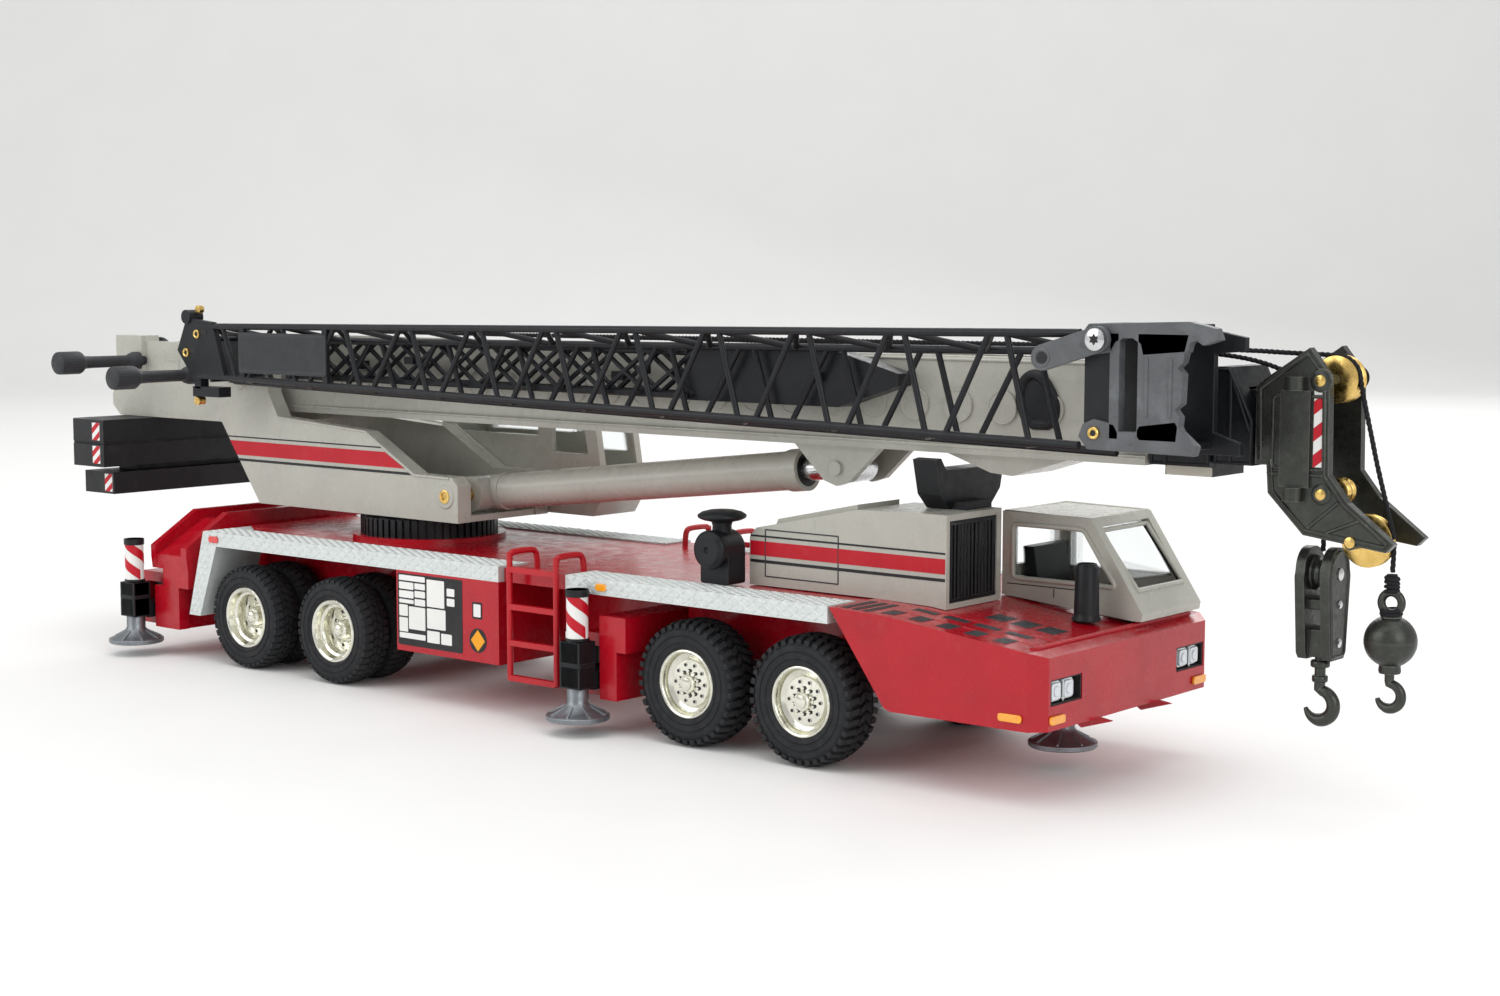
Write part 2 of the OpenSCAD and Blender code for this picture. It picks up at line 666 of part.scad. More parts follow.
module boom_base() {
  foot_r = 7;
  ledge = 0.7;
  stiffener_pitch = 8.4;
  color("lightgray") at_bumper() difference() {
    union() {
      bar([-200, 5.6], [-boom_half_w, boom_half_w], [boom_bottom, boom_top]);
      bar([-196, 5.6], [-boom_half_w - ledge, boom_half_w + ledge], [boom_bottom, 51.4]);
      cross_bar(boom_pivot, foot_r, [-8.2, 8.2]);
      bar([-203, -196], [-boom_half_w, boom_half_w], [boom_bottom + 1.5, boom_top]);
      // Round stiffeners pressed along both flanks
      for (i = [0 : 21])
        cross_bar([-188 + i * stiffener_pitch, 57.6], 2.6,
                  [-boom_half_w - 0.35, boom_half_w + 0.35]);
      // Lift cylinder bracket and the rest plate ahead of it
      both_sides() side_plate([[-62, boom_bottom], [-55.6, 44], [-53, 43.2], [-50.4, 44],
                               [-44, boom_bottom]], [-5.6, -4.2]);
      side_plate([[-31, boom_bottom], [-22.5, 47.2], [-18.5, 46.9], [-8, boom_bottom]],
                 [-5.6, 5.6]);
    }
    bar([-195, 7], [-4.9, 4.9], [51.6, 64.1]);
    cross_bar(boom_pivot, 1.75 + fit, [-9, 9]);
    // The rope guides run in a shallow channel on the top
    bar([-190, 7], [-3.2, 3.2], [boom_top - 0.5, boom_top + 1]);
  }
  color("goldenrod") at_bumper() both_sides() cross_bar(rod_pin, 1.2, [-6.2, -3.2]);
}

// Slanted collar at the front of a section; the tube passes through it
module section_collar(x, slope, low, high, half) {
  side_plate([[x[0], low], [x[0], high], [x[0] + 2.6, high], [x[1], high - slope],
              [x[1], low]], [-half, half]);
}

module boom_section_2() {
  color("dimgray") at_bumper() difference() {
    union() {
      bar([-192, 8], [-4.5, 4.5], [52, 63.7]);
      section_collar([6, 15.9], 8.4, 50.2, 66, boom_half_w);
      bar([8, 15.9], [-4.8, 4.8], [48.7, 50.2]);
    }
    bar([-193, 17], [-3.85, 3.85], [52.65, 63.05]);
  }
}

module boom_section_3() {
  color("dimgray") at_bumper() difference() {
    union() {
      bar([-190, 17], [-3.5, 3.5], [53, 62.7]);
      section_collar([16.3, 22.6], 7.6, 50.8, 65, boom_half_w - 0.4);
    }
    bar([-191, 24], [-2.85, 2.85], [53.65, 62.05]);
  }
}

module boom_section_4() {
  color("dimgray") at_bumper() {
    boom_tube([-188, 25.2], 2.5, [54, 61.7], 0.6);
    bar([23, 25.2], [-4.5, 4.5], [51, 63]);
  }
}

module head_outline() {
  polygon([[23.2, 62.4], [24.5, 63.5], [31.3, 68.1], [34.4, 64.2], [34.6, 50.2], [37.6, 46.4],
           [44.6, 41], [43.4, 39.8], [30.9, 41.4], [25.3, 47.1], [25, 51.2], [23.2, 51.2]]);
}

module boom_head() {
  plate_t = 1.4;
  color("darkslategray") at_bumper() {
    both_sides() {
      translate([0, -boom_half_w + plate_t, 0]) rotate([90, 0, 0]) linear_extrude(plate_t)
        head_outline();
      // Hinge barrels for the jib
      post(29.4, -boom_half_w - 0.4, 1.5, [62, 64]);
      post(29.4, -boom_half_w - 0.4, 1.5, [46.2, 48.2]);
      bar([27.2, 31.8], [-boom_half_w - 0.5, -boom_half_w], [48.2, 62]);
    }
    for (at = [top_sheave_at, guide_sheave_at, nose_sheave_at])
      cross_bar(at, 0.8, [-boom_half_w - 0.3, boom_half_w + 0.3]);
    bar([25.2, 26.6], [-4.6, 4.6], [51.2, 62.4]);
  }
}

module sheave(at, r, grooves) {
  pitch = 1.5;
  half = grooves * pitch / 2;
  groove = 0.55;
  color("goldenrod") at_bumper() translate([at[0], 0, at[1]]) rotate([90, 0, 0])
    rotate_extrude() polygon(concat(
      [[0.8 + fit, -half], [r, -half]],
      [for (g = [0 : grooves - 1]) for (step = [[0.2, 0], [0.55, groove], [0.95, groove], [1.3, 0]])
        [r - step[1], -half + g * pitch + step[0]]],
      [[r, half], [0.8 + fit, half]]));
}

// ---- jib ----
function top_z(x) = 67.5 + (x + 201) * 0.0121;
function low_z(x) = 57.7 - (x + 204.8) * 0.0186;
function near_top(x) = [x, jib_near_y, top_z(x)];
function near_low(x) = [x, jib_near_y, low_z(x)];
function far_top(x) = [x, jib_far_y, top_z(x) - jib_drop];
function far_low(x) = [x, jib_far_y, low_z(x) - jib_drop + 1.4];

// One side frame: two chords with the zigzag lacing between them
module side_frame(top, low, tail, tip) {
  strut([tail, top(tail)[1], top(tail)[2]], top(tip), chord_d);
  strut([tail, low(tail)[1], low(tail)[2]], low(tip), chord_d);
  for (i = [0 : jib_bays]) {
    x = jib_first_node - i * jib_pitch;
    strut(top(x + 1.5), low(x + 5.6), lacing_d);
    if (i > 0) strut(low(x + 9.2), top(x + jib_pitch - 1.5), lacing_d);
  }
}

module jib_lattice() {
  tail = -202;
  color("dimgray") at_bumper() {
    side_frame(function (x) near_top(x), function (x) near_low(x), tail, 3.7);
    side_frame(function (x) far_top(x), function (x) far_low(x), tail, 4.7);
    // Tip plates, the near one with its lugs
    side_plate([[-204.8, 69.2], [-196.6, 68.4], [-192.8, 57.2], [-203, 57], [-208, 62.6]],
               [jib_near_y - 0.6, jib_near_y + 0.6]);
    side_plate([[-204.8, 66.4], [-196.6, 65.6], [-192.8, 55.8], [-203, 55.8], [-207, 61]],
               [jib_far_y - 0.6, jib_far_y + 0.4]);
    cross_bar([-204.6, 69.4], 1.4, [jib_near_y - 1, jib_near_y + 2.4]);
    bar([-204, -195.6], [jib_near_y, jib_near_y + 3], [53.4, 55.4]);
    bar([-203.4, -201.4], [jib_near_y, jib_near_y + 2], [55, 57.6]);
    // Name plate, blank
    bar([-188, -161.6], [jib_near_y - 0.9, jib_near_y - 0.55], [58.6, 66.6]);
    bar([-188, -186.6], [jib_near_y - 0.6, jib_near_y + 0.2], [57, 68]);
    bar([-163, -161.6], [jib_near_y - 0.6, jib_near_y + 0.2], [57, 68.4]);
  }
}

// A cross strut cut short so that its ends just touch the chords it joins
module cross_strut(p, q) {
  v = q - p;
  len = norm(v);
  across = abs(v[0]) / len;
  trim = (chord_d / 2 + lacing_d / 2 * across) / sqrt(1 - across * across) + 0.02;
  strut(p + v * trim / len, q - v * trim / len, lacing_d);
}

module jib_lacing() {
  color("dimgray") at_bumper() {
    for (i = [0 : jib_bays]) {
      x = jib_first_node - i * jib_pitch;
      cross_strut(near_low(x + 8), far_low(x - 0.5));
      cross_strut(near_top(x + 1), far_top(x + 10));
      cross_strut(near_top(x - 1), far_top(x - 8));
    }
    bar([-201.2, -194.4], [jib_near_y + 0.75, jib_far_y - 0.75], [56.4, 57.4]);
    bar([-203.4, -196.8], [jib_near_y + 0.75, jib_far_y - 0.75], [64.4, 65.4]);
  }
}

module jib_fly() {
  y = [-11.9, -8.3];
  fly_end = -80;
  tip = -36;
  color("dimgray") at_bumper() {
    for (side = y)
      for (z = [57.6, 65]) strut([-187, side, z], [fly_end, side, z], lacing_d + 0.2);
    for (i = [0 : 9]) {
      x = -185 + i * 10.6;
      for (side = y) {
        strut([x, side, 57.6], [x + 10.6, side, 65], lacing_d);
        strut([x, side, 65], [x + 10.6, side, 57.6], lacing_d);
      }
      for (z = [57.6, 65]) strut([x, y[0], z], [x + 5.3, y[1], z], lacing_d);
    }
    side_plate([[fly_end - 1, 56.8], [fly_end - 1, 65.8], [-48, 65.8], [tip, 62.6],
                [tip, 60.6], [-48, 56.8]], y);
    // Mounting feet that reach the boom's flank
    for (x = [-170, -100, -60])
      bar([x - 1.4, x + 1.4], [-8.4, -boom_half_w - 0.4], [59.4, 61]);
    for (x = [-150, -90, -52])
      bar([x - 1.2, x + 1.2], [jib_far_y + 0.6, -11.8], [61, 62.4]);
  }
}

module jib_bracket() {
  near = [jib_near_y - 0.7, jib_near_y + 1.1];
  color("gray") at_bumper() {
    difference() {
      union() {
        side_plate([[5.4, 53.4], [3.9, 55.4], [3.9, 69.6], [5.4, 71.4], [21.4, 71.9], [25.6, 71],
                    [26.2, 69.4], [23.6, 68.6], [21.6, 66.6], [21, 58.2], [19.6, 57],
                    [19.6, 55.8], [22.8, 54.6], [22.4, 53.2]], near);
        bar([5, 20], [near[1] - 0.1, jib_far_y + 0.7], [70.2, 71.4]);
        bar([5, 20], [near[1] - 0.1, jib_far_y + 0.7], [53.6, 54.6]);
        side_plate([[5, 52.8], [5, 70.8], [19, 70.8], [25.4, 69.6], [25.4, 67.6], [20.6, 67.2],
                    [20.6, 56], [24.8, 54.6], [24.8, 52.8]], [jib_far_y - 0.5, jib_far_y + 0.7]);
      }
      side_plate([[9.8, 57.4], [9.8, 67.4], [11, 69], [12.6, 69], [13.8, 67.4], [13.8, 57.4],
                  [12.6, 56], [11, 56]], [near[0] - 1, near[1] + 0.1]);
      cross_bar(link_pin, 0.9 + fit, [near[0] - 1, near[1] + 0.4]);
    }
    // Foot that ties the bracket to the boom's nose
    bar([6.4, 14.4], [jib_far_y + 0.6, -boom_half_w - 0.9], [52.8, 54.4]);
    bar([1, 5.2], [-9.6, -boom_half_w - 0.1], [53.2, 55.4]);
    bar([1, 7], [-9.6, -8.2], [52.9, 54.4]);
  }
}

module jib_link() {
  hole = [-1.6, 66.4];
  color("dimgray") at_bumper() difference() {
    hull() {
      cross_bar(link_pin, 1.9, [jib_near_y - 1.9, jib_near_y - 1.05]);
      cross_bar(hole, 1.9, [jib_near_y - 1.9, jib_near_y - 1.05]);
    }
    cross_bar(link_pin, 0.9 + fit, [jib_near_y - 3, jib_near_y]);
    cross_bar(hole, 0.9, [jib_near_y - 3, jib_near_y]);
  }
}

module jib_pins() {
  y = jib_near_y;
  color("goldenrod") at_bumper() {
    // Screw that holds the link
    cross_bar(link_pin, 0.9, [y - 2.3, y + 0.6]);
    cross_bar(link_pin, 1.6, [y - 2.7, y - 2.25]);
    // Eyelets on the bracket and on the tip plate
    cross_bar([6.6, 55.8], 0.9, [y - 1.2, y - 0.7]);
    cross_bar([-201.4, 66], 0.9, [y - 1, y - 0.6]);
    cross_bar([-205, 62.2], 0.9, [y - 1, y - 0.6]);
    cross_bar([-202.4, 70.9], 0.8, [y + 0.2, y + 1.6]);
    cross_bar([-203.4, 52.5], 0.9, [y + 0.3, y + 2.2]);
  }
}

// ---- hooks ----
module hook_block() {
  cheek = [[-1.5, 39.3], [-3.1, 37.4], [-3.6, 35.4], [-2.5, 23.6], [-1.9, 22.9],
           [1.9, 22.9], [2.5, 23.6], [3.6, 35.4], [3.1, 37.4], [1.5, 39.3]];
  color("darkslategray") at_bumper() {
    difference() {
      union() {
        cross_plate(cheek, [28.6, 30.1]);
        cross_plate(cheek, [32.5, 34]);
        bar([30, 32.6], [-1.8, 1.8], [23.2, 27.4]);
        bar([30, 32.6], [-2.2, 2.2], [30.2, 31.8]);
      }
      post(block_x, 0, 0.95 + fit, [20, 26.4]);
    }
    // Block sheave on its pin
    translate([30.3, 0, 35.4]) rotate([0, 90, 0]) cylinder(h = 2, r = 2.6);
    translate([30, 0, 35.4]) rotate([0, 90, 0]) cylinder(h = 2.6, r = 0.8);
  }
}

// A plain hook: shank, then three quarters of a ring, drawn in the XZ plane
module hook_bend(at, ring, wire) {
  translate([at[0], 0, at[1]]) rotate([90, 0, 0]) rotate(90)
    rotate_extrude(angle = -255) translate([ring, 0]) circle(r = wire, $fn = 24);
}

module main_hook() {
  color("darkslategray") at_bumper() {
    post(block_x, 0, 0.95, [18.2, 26]);
    hook_bend([block_x, 16], 2.2, 0.85);
    post(block_x, 0, 1.4, [21.6, 22.6]);
  }
}

module hook_ball() {
  x = ball_at[0];
  color("dimgray") at_bumper() {
    translate([x, 0, ball_at[1]]) sphere(r = 3.75);
    post(x, 0, 1.5, [21.9, 23.2]);
    post(x, 0, 0.7, [20.4, 22.4]);
    hook_bend([x, 18.6], 1.8, 0.65);
    translate([x, 0, 32]) rotate([90, 0, 0]) rotate_extrude()
      translate([1.5, 0]) circle(r = 0.6, $fn = 24);
    // Rope knot on the ring
    post(x, 0, 0.9, [33.6, 36]);
  }
}

// ---- ropes ----
main_route =
  [[-188, 1.4, 66.5], [-150, 1.4, 66.5], [-100, 1.4, 66.6], [-50, 1.4, 66.7], [0, 1.4, 66.7],
   [8, 1.2, 66.8], [18, 1, 66], [26, 0.75, 63.6], [29.6, 0.75, 60], [31, 0.75, 55],
   [31.5, 0.75, 50], [31.7, 0.75, 47.4]];
aux_route = concat(
  [[-188, -1.4, 66.5], [-150, -1.4, 66.6], [-100, -1.4, 66.9], [-50, -1.4, 67.2],
   [0, -1.2, 67.5], [14, -1, 67.4], [26, -0.75, 67.1]],
  arc(top_sheave_at, 3.4, 90, 15, 5, -0.75),
  [[37.4, -0.7, 60], [39.6, -0.4, 50.6], [41.5, -0.1, 43.2], [41.95, 0, 41.1]]);

module main_rope() {
  color("black") at_bumper() swept_rope(main_route, rope_r);
}

module aux_rope() {
  color("black") at_bumper() swept_rope(aux_route, rope_r);
}

module main_rope_tail() {
  color("black") at_bumper() {
    swept_rope([[31.7, -0.75, 47], [31.6, -0.7, 44], [31.4, -0.2, 41], [31.3, 0, 38.6]], rope_r);
  }
}

module aux_rope_tail() {
  color("black") at_bumper() {
    swept_rope([[42, 0, 40.6], [42, 0, 38.4], [41.9, 0, 36.4]], rope_r);
  }
}

chassis();
deck_plates();
ladders();
carrier_cab();
carrier_cab_glass();
carrier_cab_interior();
engine_hood();
radiator_grille();
air_cleaner();
lamps();
slew_gear();
steer_beam(0);  // steer_beam_1
steer_beam(1);  // steer_beam_2
wheelset(0);  // wheelset_1
wheelset(1);  // wheelset_2
wheelset(2);  // wheelset_3
wheelset(3);  // wheelset_4
tyres(0);  // tyres_1
tyres(1);  // tyres_2
tyres(2);  // tyres_3
tyres(3);  // tyres_4
outrigger_beam(mid_jack_x, -1, 16);  // beam_mid_right
outrigger_beam(mid_jack_x, 1, 16);  // beam_mid_left
outrigger_beam(rear_jack_x, -1, 15);  // beam_rear_right
outrigger_beam(rear_jack_x, 1, 15);  // beam_rear_left
outrigger_jack(mid_jack_x, -1, 16);  // jack_mid_right
outrigger_jack(mid_jack_x, 1, 16);  // jack_mid_left
outrigger_jack(rear_jack_x, -1, 15);  // jack_rear_right
outrigger_jack(rear_jack_x, 1, 15);  // jack_rear_left
front_jack();
superstructure();
counterweight();
operator_cab();
operator_cab_glass();
winch(front_winch_at);  // front_winch
winch(rear_winch_at);  // rear_winch
lift_cylinder();
lift_rod();
pivot_pins();
boom_base();
boom_section_2();
boom_section_3();
boom_section_4();
boom_head();
jib_lattice();
jib_lacing();
jib_fly();
jib_bracket();
jib_link();
jib_pins();
sheave(top_sheave_at, 3.4, 2);  // top_sheave
sheave(guide_sheave_at, 1.9, 2);  // guide_sheave
sheave(nose_sheave_at, 3.8, 1);  // nose_sheave
hook_block();
main_hook();
hook_ball();
main_rope();
aux_rope();
main_rope_tail();
aux_rope_tail();
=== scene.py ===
"""Looks of the toy mobile crane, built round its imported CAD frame.

Lengths in the helpers are millimetres in the bumper frame: x = 0 at the bumper face and negative
to the rear, y to the truck's left, z up from the ground. place() turns them into the row frame.
"""
import math

import bmesh
import bpy
from mathutils import Matrix, Vector


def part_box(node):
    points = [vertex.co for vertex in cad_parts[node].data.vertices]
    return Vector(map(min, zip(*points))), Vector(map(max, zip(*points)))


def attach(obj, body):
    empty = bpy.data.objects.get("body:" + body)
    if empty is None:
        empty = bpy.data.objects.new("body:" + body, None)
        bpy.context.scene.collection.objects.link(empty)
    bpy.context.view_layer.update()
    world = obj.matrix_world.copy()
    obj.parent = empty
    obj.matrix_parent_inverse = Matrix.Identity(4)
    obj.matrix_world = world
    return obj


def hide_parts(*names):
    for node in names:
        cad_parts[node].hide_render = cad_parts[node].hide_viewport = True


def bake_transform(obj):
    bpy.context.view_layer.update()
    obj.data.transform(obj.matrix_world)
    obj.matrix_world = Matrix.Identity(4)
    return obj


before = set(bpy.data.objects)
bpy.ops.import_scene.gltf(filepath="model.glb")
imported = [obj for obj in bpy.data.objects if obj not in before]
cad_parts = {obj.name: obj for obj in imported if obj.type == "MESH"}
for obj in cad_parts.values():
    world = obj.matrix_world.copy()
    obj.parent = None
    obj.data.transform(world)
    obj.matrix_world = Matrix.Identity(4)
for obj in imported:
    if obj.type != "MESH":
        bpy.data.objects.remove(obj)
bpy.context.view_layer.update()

MM = 0.001
TOW_FIN = 2.2  # the tow fins stand this far ahead of the bumper face
BUMPER_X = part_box("chassis")[1].x - TOW_FIN * MM


def place(x, y, z):
    """Bumper-frame millimetres to row-frame metres."""
    return Vector((BUMPER_X + x * MM, y * MM, z * MM))


def local(point):
    """Row-frame metres back to bumper-frame millimetres."""
    return Vector(((point[0] - BUMPER_X) / MM, point[1] / MM, point[2] / MM))


# ---------------------------------------------------------------- camera
def make_camera():
    data = bpy.data.cameras.new("camera")
    data.sensor_width = 36
    data.lens = 54.21
    data.clip_start, data.clip_end = 0.01, 10
    cam = bpy.data.objects.new("camera", data)
    cam.location = place(173.93, -302.82, 79.09)
    down, roll, azimuth = 5.79, -0.05, 39.57
    cam.rotation_euler = [math.radians(a) for a in (90 - down, roll, azimuth)]
    bpy.context.scene.collection.objects.link(cam)
    bpy.context.scene.camera = cam


make_camera()


# ---------------------------------------------------------------- mesh helpers
class Build:
    """Collects solids in one mesh, in bumper-frame millimetres."""

    def __init__(self):
        self.bm = bmesh.new()

    def face(self, verts):
        try:
            self.bm.faces.new(verts)
        except ValueError:
            pass

    def loft(self, rings, closed=False, caps=True):
        """Joins rings of the same number of points; each ring is a closed loop."""
        made = [[self.bm.verts.new(p) for p in ring] for ring in rings]
        pairs = list(zip(made, made[1:]))
        if closed:
            pairs.append((made[-1], made[0]))
        for a, b in pairs:
            for k in range(len(a)):
                n = (k + 1) % len(a)
                self.face((a[k], a[n], b[n], b[k]))
        if caps and not closed:
            self.face(list(reversed(made[0])))
            self.face(made[-1])
        return self

    def box(self, lo, hi):
        (x0, y0, z0), (x1, y1, z1) = lo, hi
        base = [(x0, y0), (x1, y0), (x1, y1), (x0, y1)]
        return self.loft([[(x, y, z) for x, y in base] for z in (z0, z1)])

    def plate(self, outline, low, high, plane="xz"):
        """A flat prism: outline in the named plane, from low to high along the third axis."""
        order = {"xz": lambda u, v, w: (u, w, v), "xy": lambda u, v, w: (u, v, w),
                 "yz": lambda u, v, w: (w, u, v)}[plane]
        return self.loft([[order(u, v, w) for u, v in outline] for w in (low, high)])

    def turned(self, profile, centre, axis="y", steps=48, closed=True):
        """Turns a closed (radius, station) profile about an axis through centre."""
        rings = []
        for i in range(steps):
            a = 2 * math.pi * i / steps
            c, s = math.cos(a), math.sin(a)
            ring = []
            for r, t in profile:
                offset = {"y": (r * c, t, r * s), "z": (r * c, r * s, t), "x": (t, r * c, r * s)}[axis]
                ring.append(Vector(centre) + Vector(offset))
            rings.append(ring)
        made = [[self.bm.verts.new(p) for p in ring] for ring in rings]
        count = len(profile)
        for i in range(steps):
            a, b = made[i], made[(i + 1) % steps]
            for k in range(count if closed else count - 1):
                n = (k + 1) % count
                self.face((a[k], a[n], b[n], b[k]))
        return self

    def rod(self, centre, r, low, high, axis="y", steps=32):
        """A plain round bar with flat ends."""
        ends = []
        for t in (low, high):
            ring = []
            for i in range(steps):
                a = 2 * math.pi * i / steps
                c, s = r * math.cos(a), r * math.sin(a)
                offset = {"y": (c, t, s), "z": (c, s, t), "x": (t, c, s)}[axis]
                ring.append(Vector(centre) + Vector(offset))
            ends.append(ring)
        return self.loft(ends)

    def tube(self, points, radius, sides=12, closed=False, squash=1.0, caps=True):
        """Sweeps a circle along points; radius is one number or one per point."""
        pts = [Vector(p) for p in points]
        radii = radius if isinstance(radius, (list, tuple)) else [radius] * len(pts)
        last = len(pts) - 1
        side = None
        rings = []
        for i, p in enumerate(pts):
            before = pts[i - 1] if i > 0 or closed else pts[i]
            after = pts[(i + 1) % len(pts)] if i < last or closed else pts[i]
            ahead = (after - before).normalized()
            if side is None:
                side = ahead.orthogonal().normalized()
            side = (side - ahead * side.dot(ahead)).normalized()
            up = ahead.cross(side)
            rings.append([p + radii[i] * (math.cos(a) * side + squash * math.sin(a) * up)
                          for a in (2 * math.pi * k / sides for k in range(sides))])
        return self.loft(rings, closed=closed, caps=caps)

    def done(self, name, body, material, slot, bevel=0.0, smooth=35, replaces=()):
        """Ends the mesh, and returns it as a piece; with no body named, it rides on none."""
        bmesh.ops.recalc_face_normals(self.bm, faces=self.bm.faces)
        for v in self.bm.verts:
            v.co = place(*v.co)
        mesh = bpy.data.meshes.new(name)
        self.bm.to_mesh(mesh)
        self.bm.free()
        for polygon in mesh.polygons:
            polygon.use_smooth = True
        mesh.set_sharp_from_angle(angle=math.radians(smooth))
        mesh.materials.append(material)
        piece = bpy.data.objects.new(name, mesh)
        bpy.context.scene.collection.objects.link(piece)
        if bevel:
            round_edges(piece, bevel)
        if body:
            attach(piece, body)
        if replaces:
            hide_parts(*replaces)
        return piece


def round_edges(piece, width, segments=2):
    """A small bevel on the sharp edges, as on moulded and cast parts."""
    bevel = piece.modifiers.new("rounded edges", "BEVEL")
    bevel.width = width * MM
    bevel.segments = segments
    bevel.limit_method = "ANGLE"
    bevel.angle_limit = math.radians(40)
    bevel.use_clamp_overlap = True
    bevel.harden_normals = True


def smooth_path(points, steps=6):
    """Points on a Catmull-Rom curve through the given ones."""
    pts = [Vector(p) for p in points]
    pts = [2 * pts[0] - pts[1]] + pts + [2 * pts[-1] - pts[-2]]
    out = []
    for p0, p1, p2, p3 in zip(pts, pts[1:], pts[2:], pts[3:]):
        for i in range(steps):
            t = i / steps
            out.append(0.5 * (2 * p1 + (p2 - p0) * t + (2 * p0 - 5 * p1 + 4 * p2 - p3) * t * t
                              + (3 * p1 - p0 - 3 * p2 + p3) * t ** 3))
    return out + [pts[-2]]


def arc_points(centre, r, start, end, steps, y):
    """Points of an arc in an XZ plane, in degrees from +X towards +Z."""
    return [(centre[0] + r * math.cos(math.radians(start + (end - start) * i / steps)), y,
             centre[1] + r * math.sin(math.radians(start + (end - start) * i / steps)))
            for i in range(steps + 1)]


SIDES = (-1, 1)
SUPER_HALF_W = 12.0
BOOM_HALF_W = 6.0
LIFT_TILT = 6.48  # degrees above level at rest


def mirrored(points, side):
    """The same points on the right (-1, as given) or on the left (1)."""
    return [(x, -y * side, z) for x, y, z in points]


# ---------------------------------------------------------------- materials
class Shader:
    """A Principled material and short ways to drive its colour, roughness and relief."""

    def __init__(self, name, colour, rough, metallic=0.0, specular=0.5, coat=0.0):
        self.material = bpy.data.materials.new(name)
        self.material.use_nodes = True
        tree = self.material.node_tree
        self.nodes, self.links = tree.nodes, tree.links
        self.bsdf = next(n for n in self.nodes if n.type == "BSDF_PRINCIPLED")
        self.set("Base Color", (*colour, 1))
        self.set("Roughness", rough)
        self.set("Metallic", metallic)
        self.set("Specular IOR Level", specular)
        self.set("Coat Weight", coat)
        self.where = self.nodes.new("ShaderNodeTexCoord").outputs["Object"]
        self.colour = colour
        self.rough = rough
        self.height = None

    def set(self, socket, value):
        self.bsdf.inputs[socket].default_value = value

    def noise(self, size, detail=4.0, rough=0.55, stretch=(1, 1, 1), distort=0.0):
        """Noise whose features are about size millimetres."""
        scale = self.nodes.new("ShaderNodeVectorMath")
        scale.operation = "MULTIPLY"
        scale.inputs[1].default_value = stretch
        self.links.new(self.where, scale.inputs[0])
        node = self.nodes.new("ShaderNodeTexNoise")
        node.inputs["Scale"].default_value = 1 / (size * MM)
        node.inputs["Detail"].default_value = detail
        node.inputs["Roughness"].default_value = rough
        node.inputs["Distortion"].default_value = distort
        self.links.new(scale.outputs[0], node.inputs["Vector"])
        return node.outputs["Fac"]

    def ramp(self, value, low, high):
        """Steps a value from 0 below low to 1 above high."""
        node = self.nodes.new("ShaderNodeMapRange")
        node.inputs["From Min"].default_value = low
        node.inputs["From Max"].default_value = high
        self.links.new(value, node.inputs["Value"])
        return node.outputs["Result"]

    def times(self, a, b):
        node = self.nodes.new("ShaderNodeMath")
        node.operation = "MULTIPLY"
        self.links.new(a, node.inputs[0])
        if isinstance(b, (int, float)):
            node.inputs[1].default_value = b
        else:
            self.links.new(b, node.inputs[1])
        return node.outputs[0]

    def tint(self, mask, colour):
        """Blends the base colour towards colour where mask is 1."""
        mix = self.nodes.new("ShaderNodeMix")
        mix.data_type = "RGBA"
        base = self.bsdf.inputs["Base Color"]
        if base.is_linked:
            self.links.new(base.links[0].from_socket, mix.inputs[6])
        else:
            mix.inputs[6].default_value = (*self.colour, 1)
        mix.inputs[7].default_value = (*colour, 1)
        self.links.new(mask, mix.inputs["Factor"])
        self.links.new(mix.outputs[2], base)
        return self

    def vary_rough(self, value, low, high):
        node = self.nodes.new("ShaderNodeMapRange")
        node.inputs["From Min"].default_value = 0.3
        node.inputs["From Max"].default_value = 0.7
        node.inputs["To Min"].default_value = low
        node.inputs["To Max"].default_value = high
        self.links.new(value, node.inputs["Value"])
        self.links.new(node.outputs["Result"], self.bsdf.inputs["Roughness"])
        return self

    def relief(self, value, depth):
        """Bumps the surface by depth millimetres."""
        node = self.nodes.new("ShaderNodeBump")
        node.inputs["Strength"].default_value = 1
        node.inputs["Distance"].default_value = depth * MM
        self.links.new(value, node.inputs["Height"])
        if self.height is not None:
            self.links.new(self.height, node.inputs["Normal"])
        self.height = node.outputs["Normal"]
        self.links.new(self.height, self.bsdf.inputs["Normal"])
        return self

    def edges(self, width):
        """1 on sharp edges and 0 on flat faces, from the difference a bevel makes."""
        bevel = self.nodes.new("ShaderNodeBevel")
        bevel.samples = 4
        bevel.inputs["Radius"].default_value = width * MM
        flat = self.nodes.new("ShaderNodeNewGeometry")
        dot = self.nodes.new("ShaderNodeVectorMath")
        dot.operation = "DOT_PRODUCT"
        self.links.new(bevel.outputs["Normal"], dot.inputs[0])
        self.links.new(flat.outputs["Normal"], dot.inputs[1])
        node = self.nodes.new("ShaderNodeMapRange")
        node.inputs["From Min"].default_value = 0.99
        node.inputs["From Max"].default_value = 0.86
        self.links.new(dot.outputs["Value"], node.inputs["Value"])
        return node.outputs["Result"]


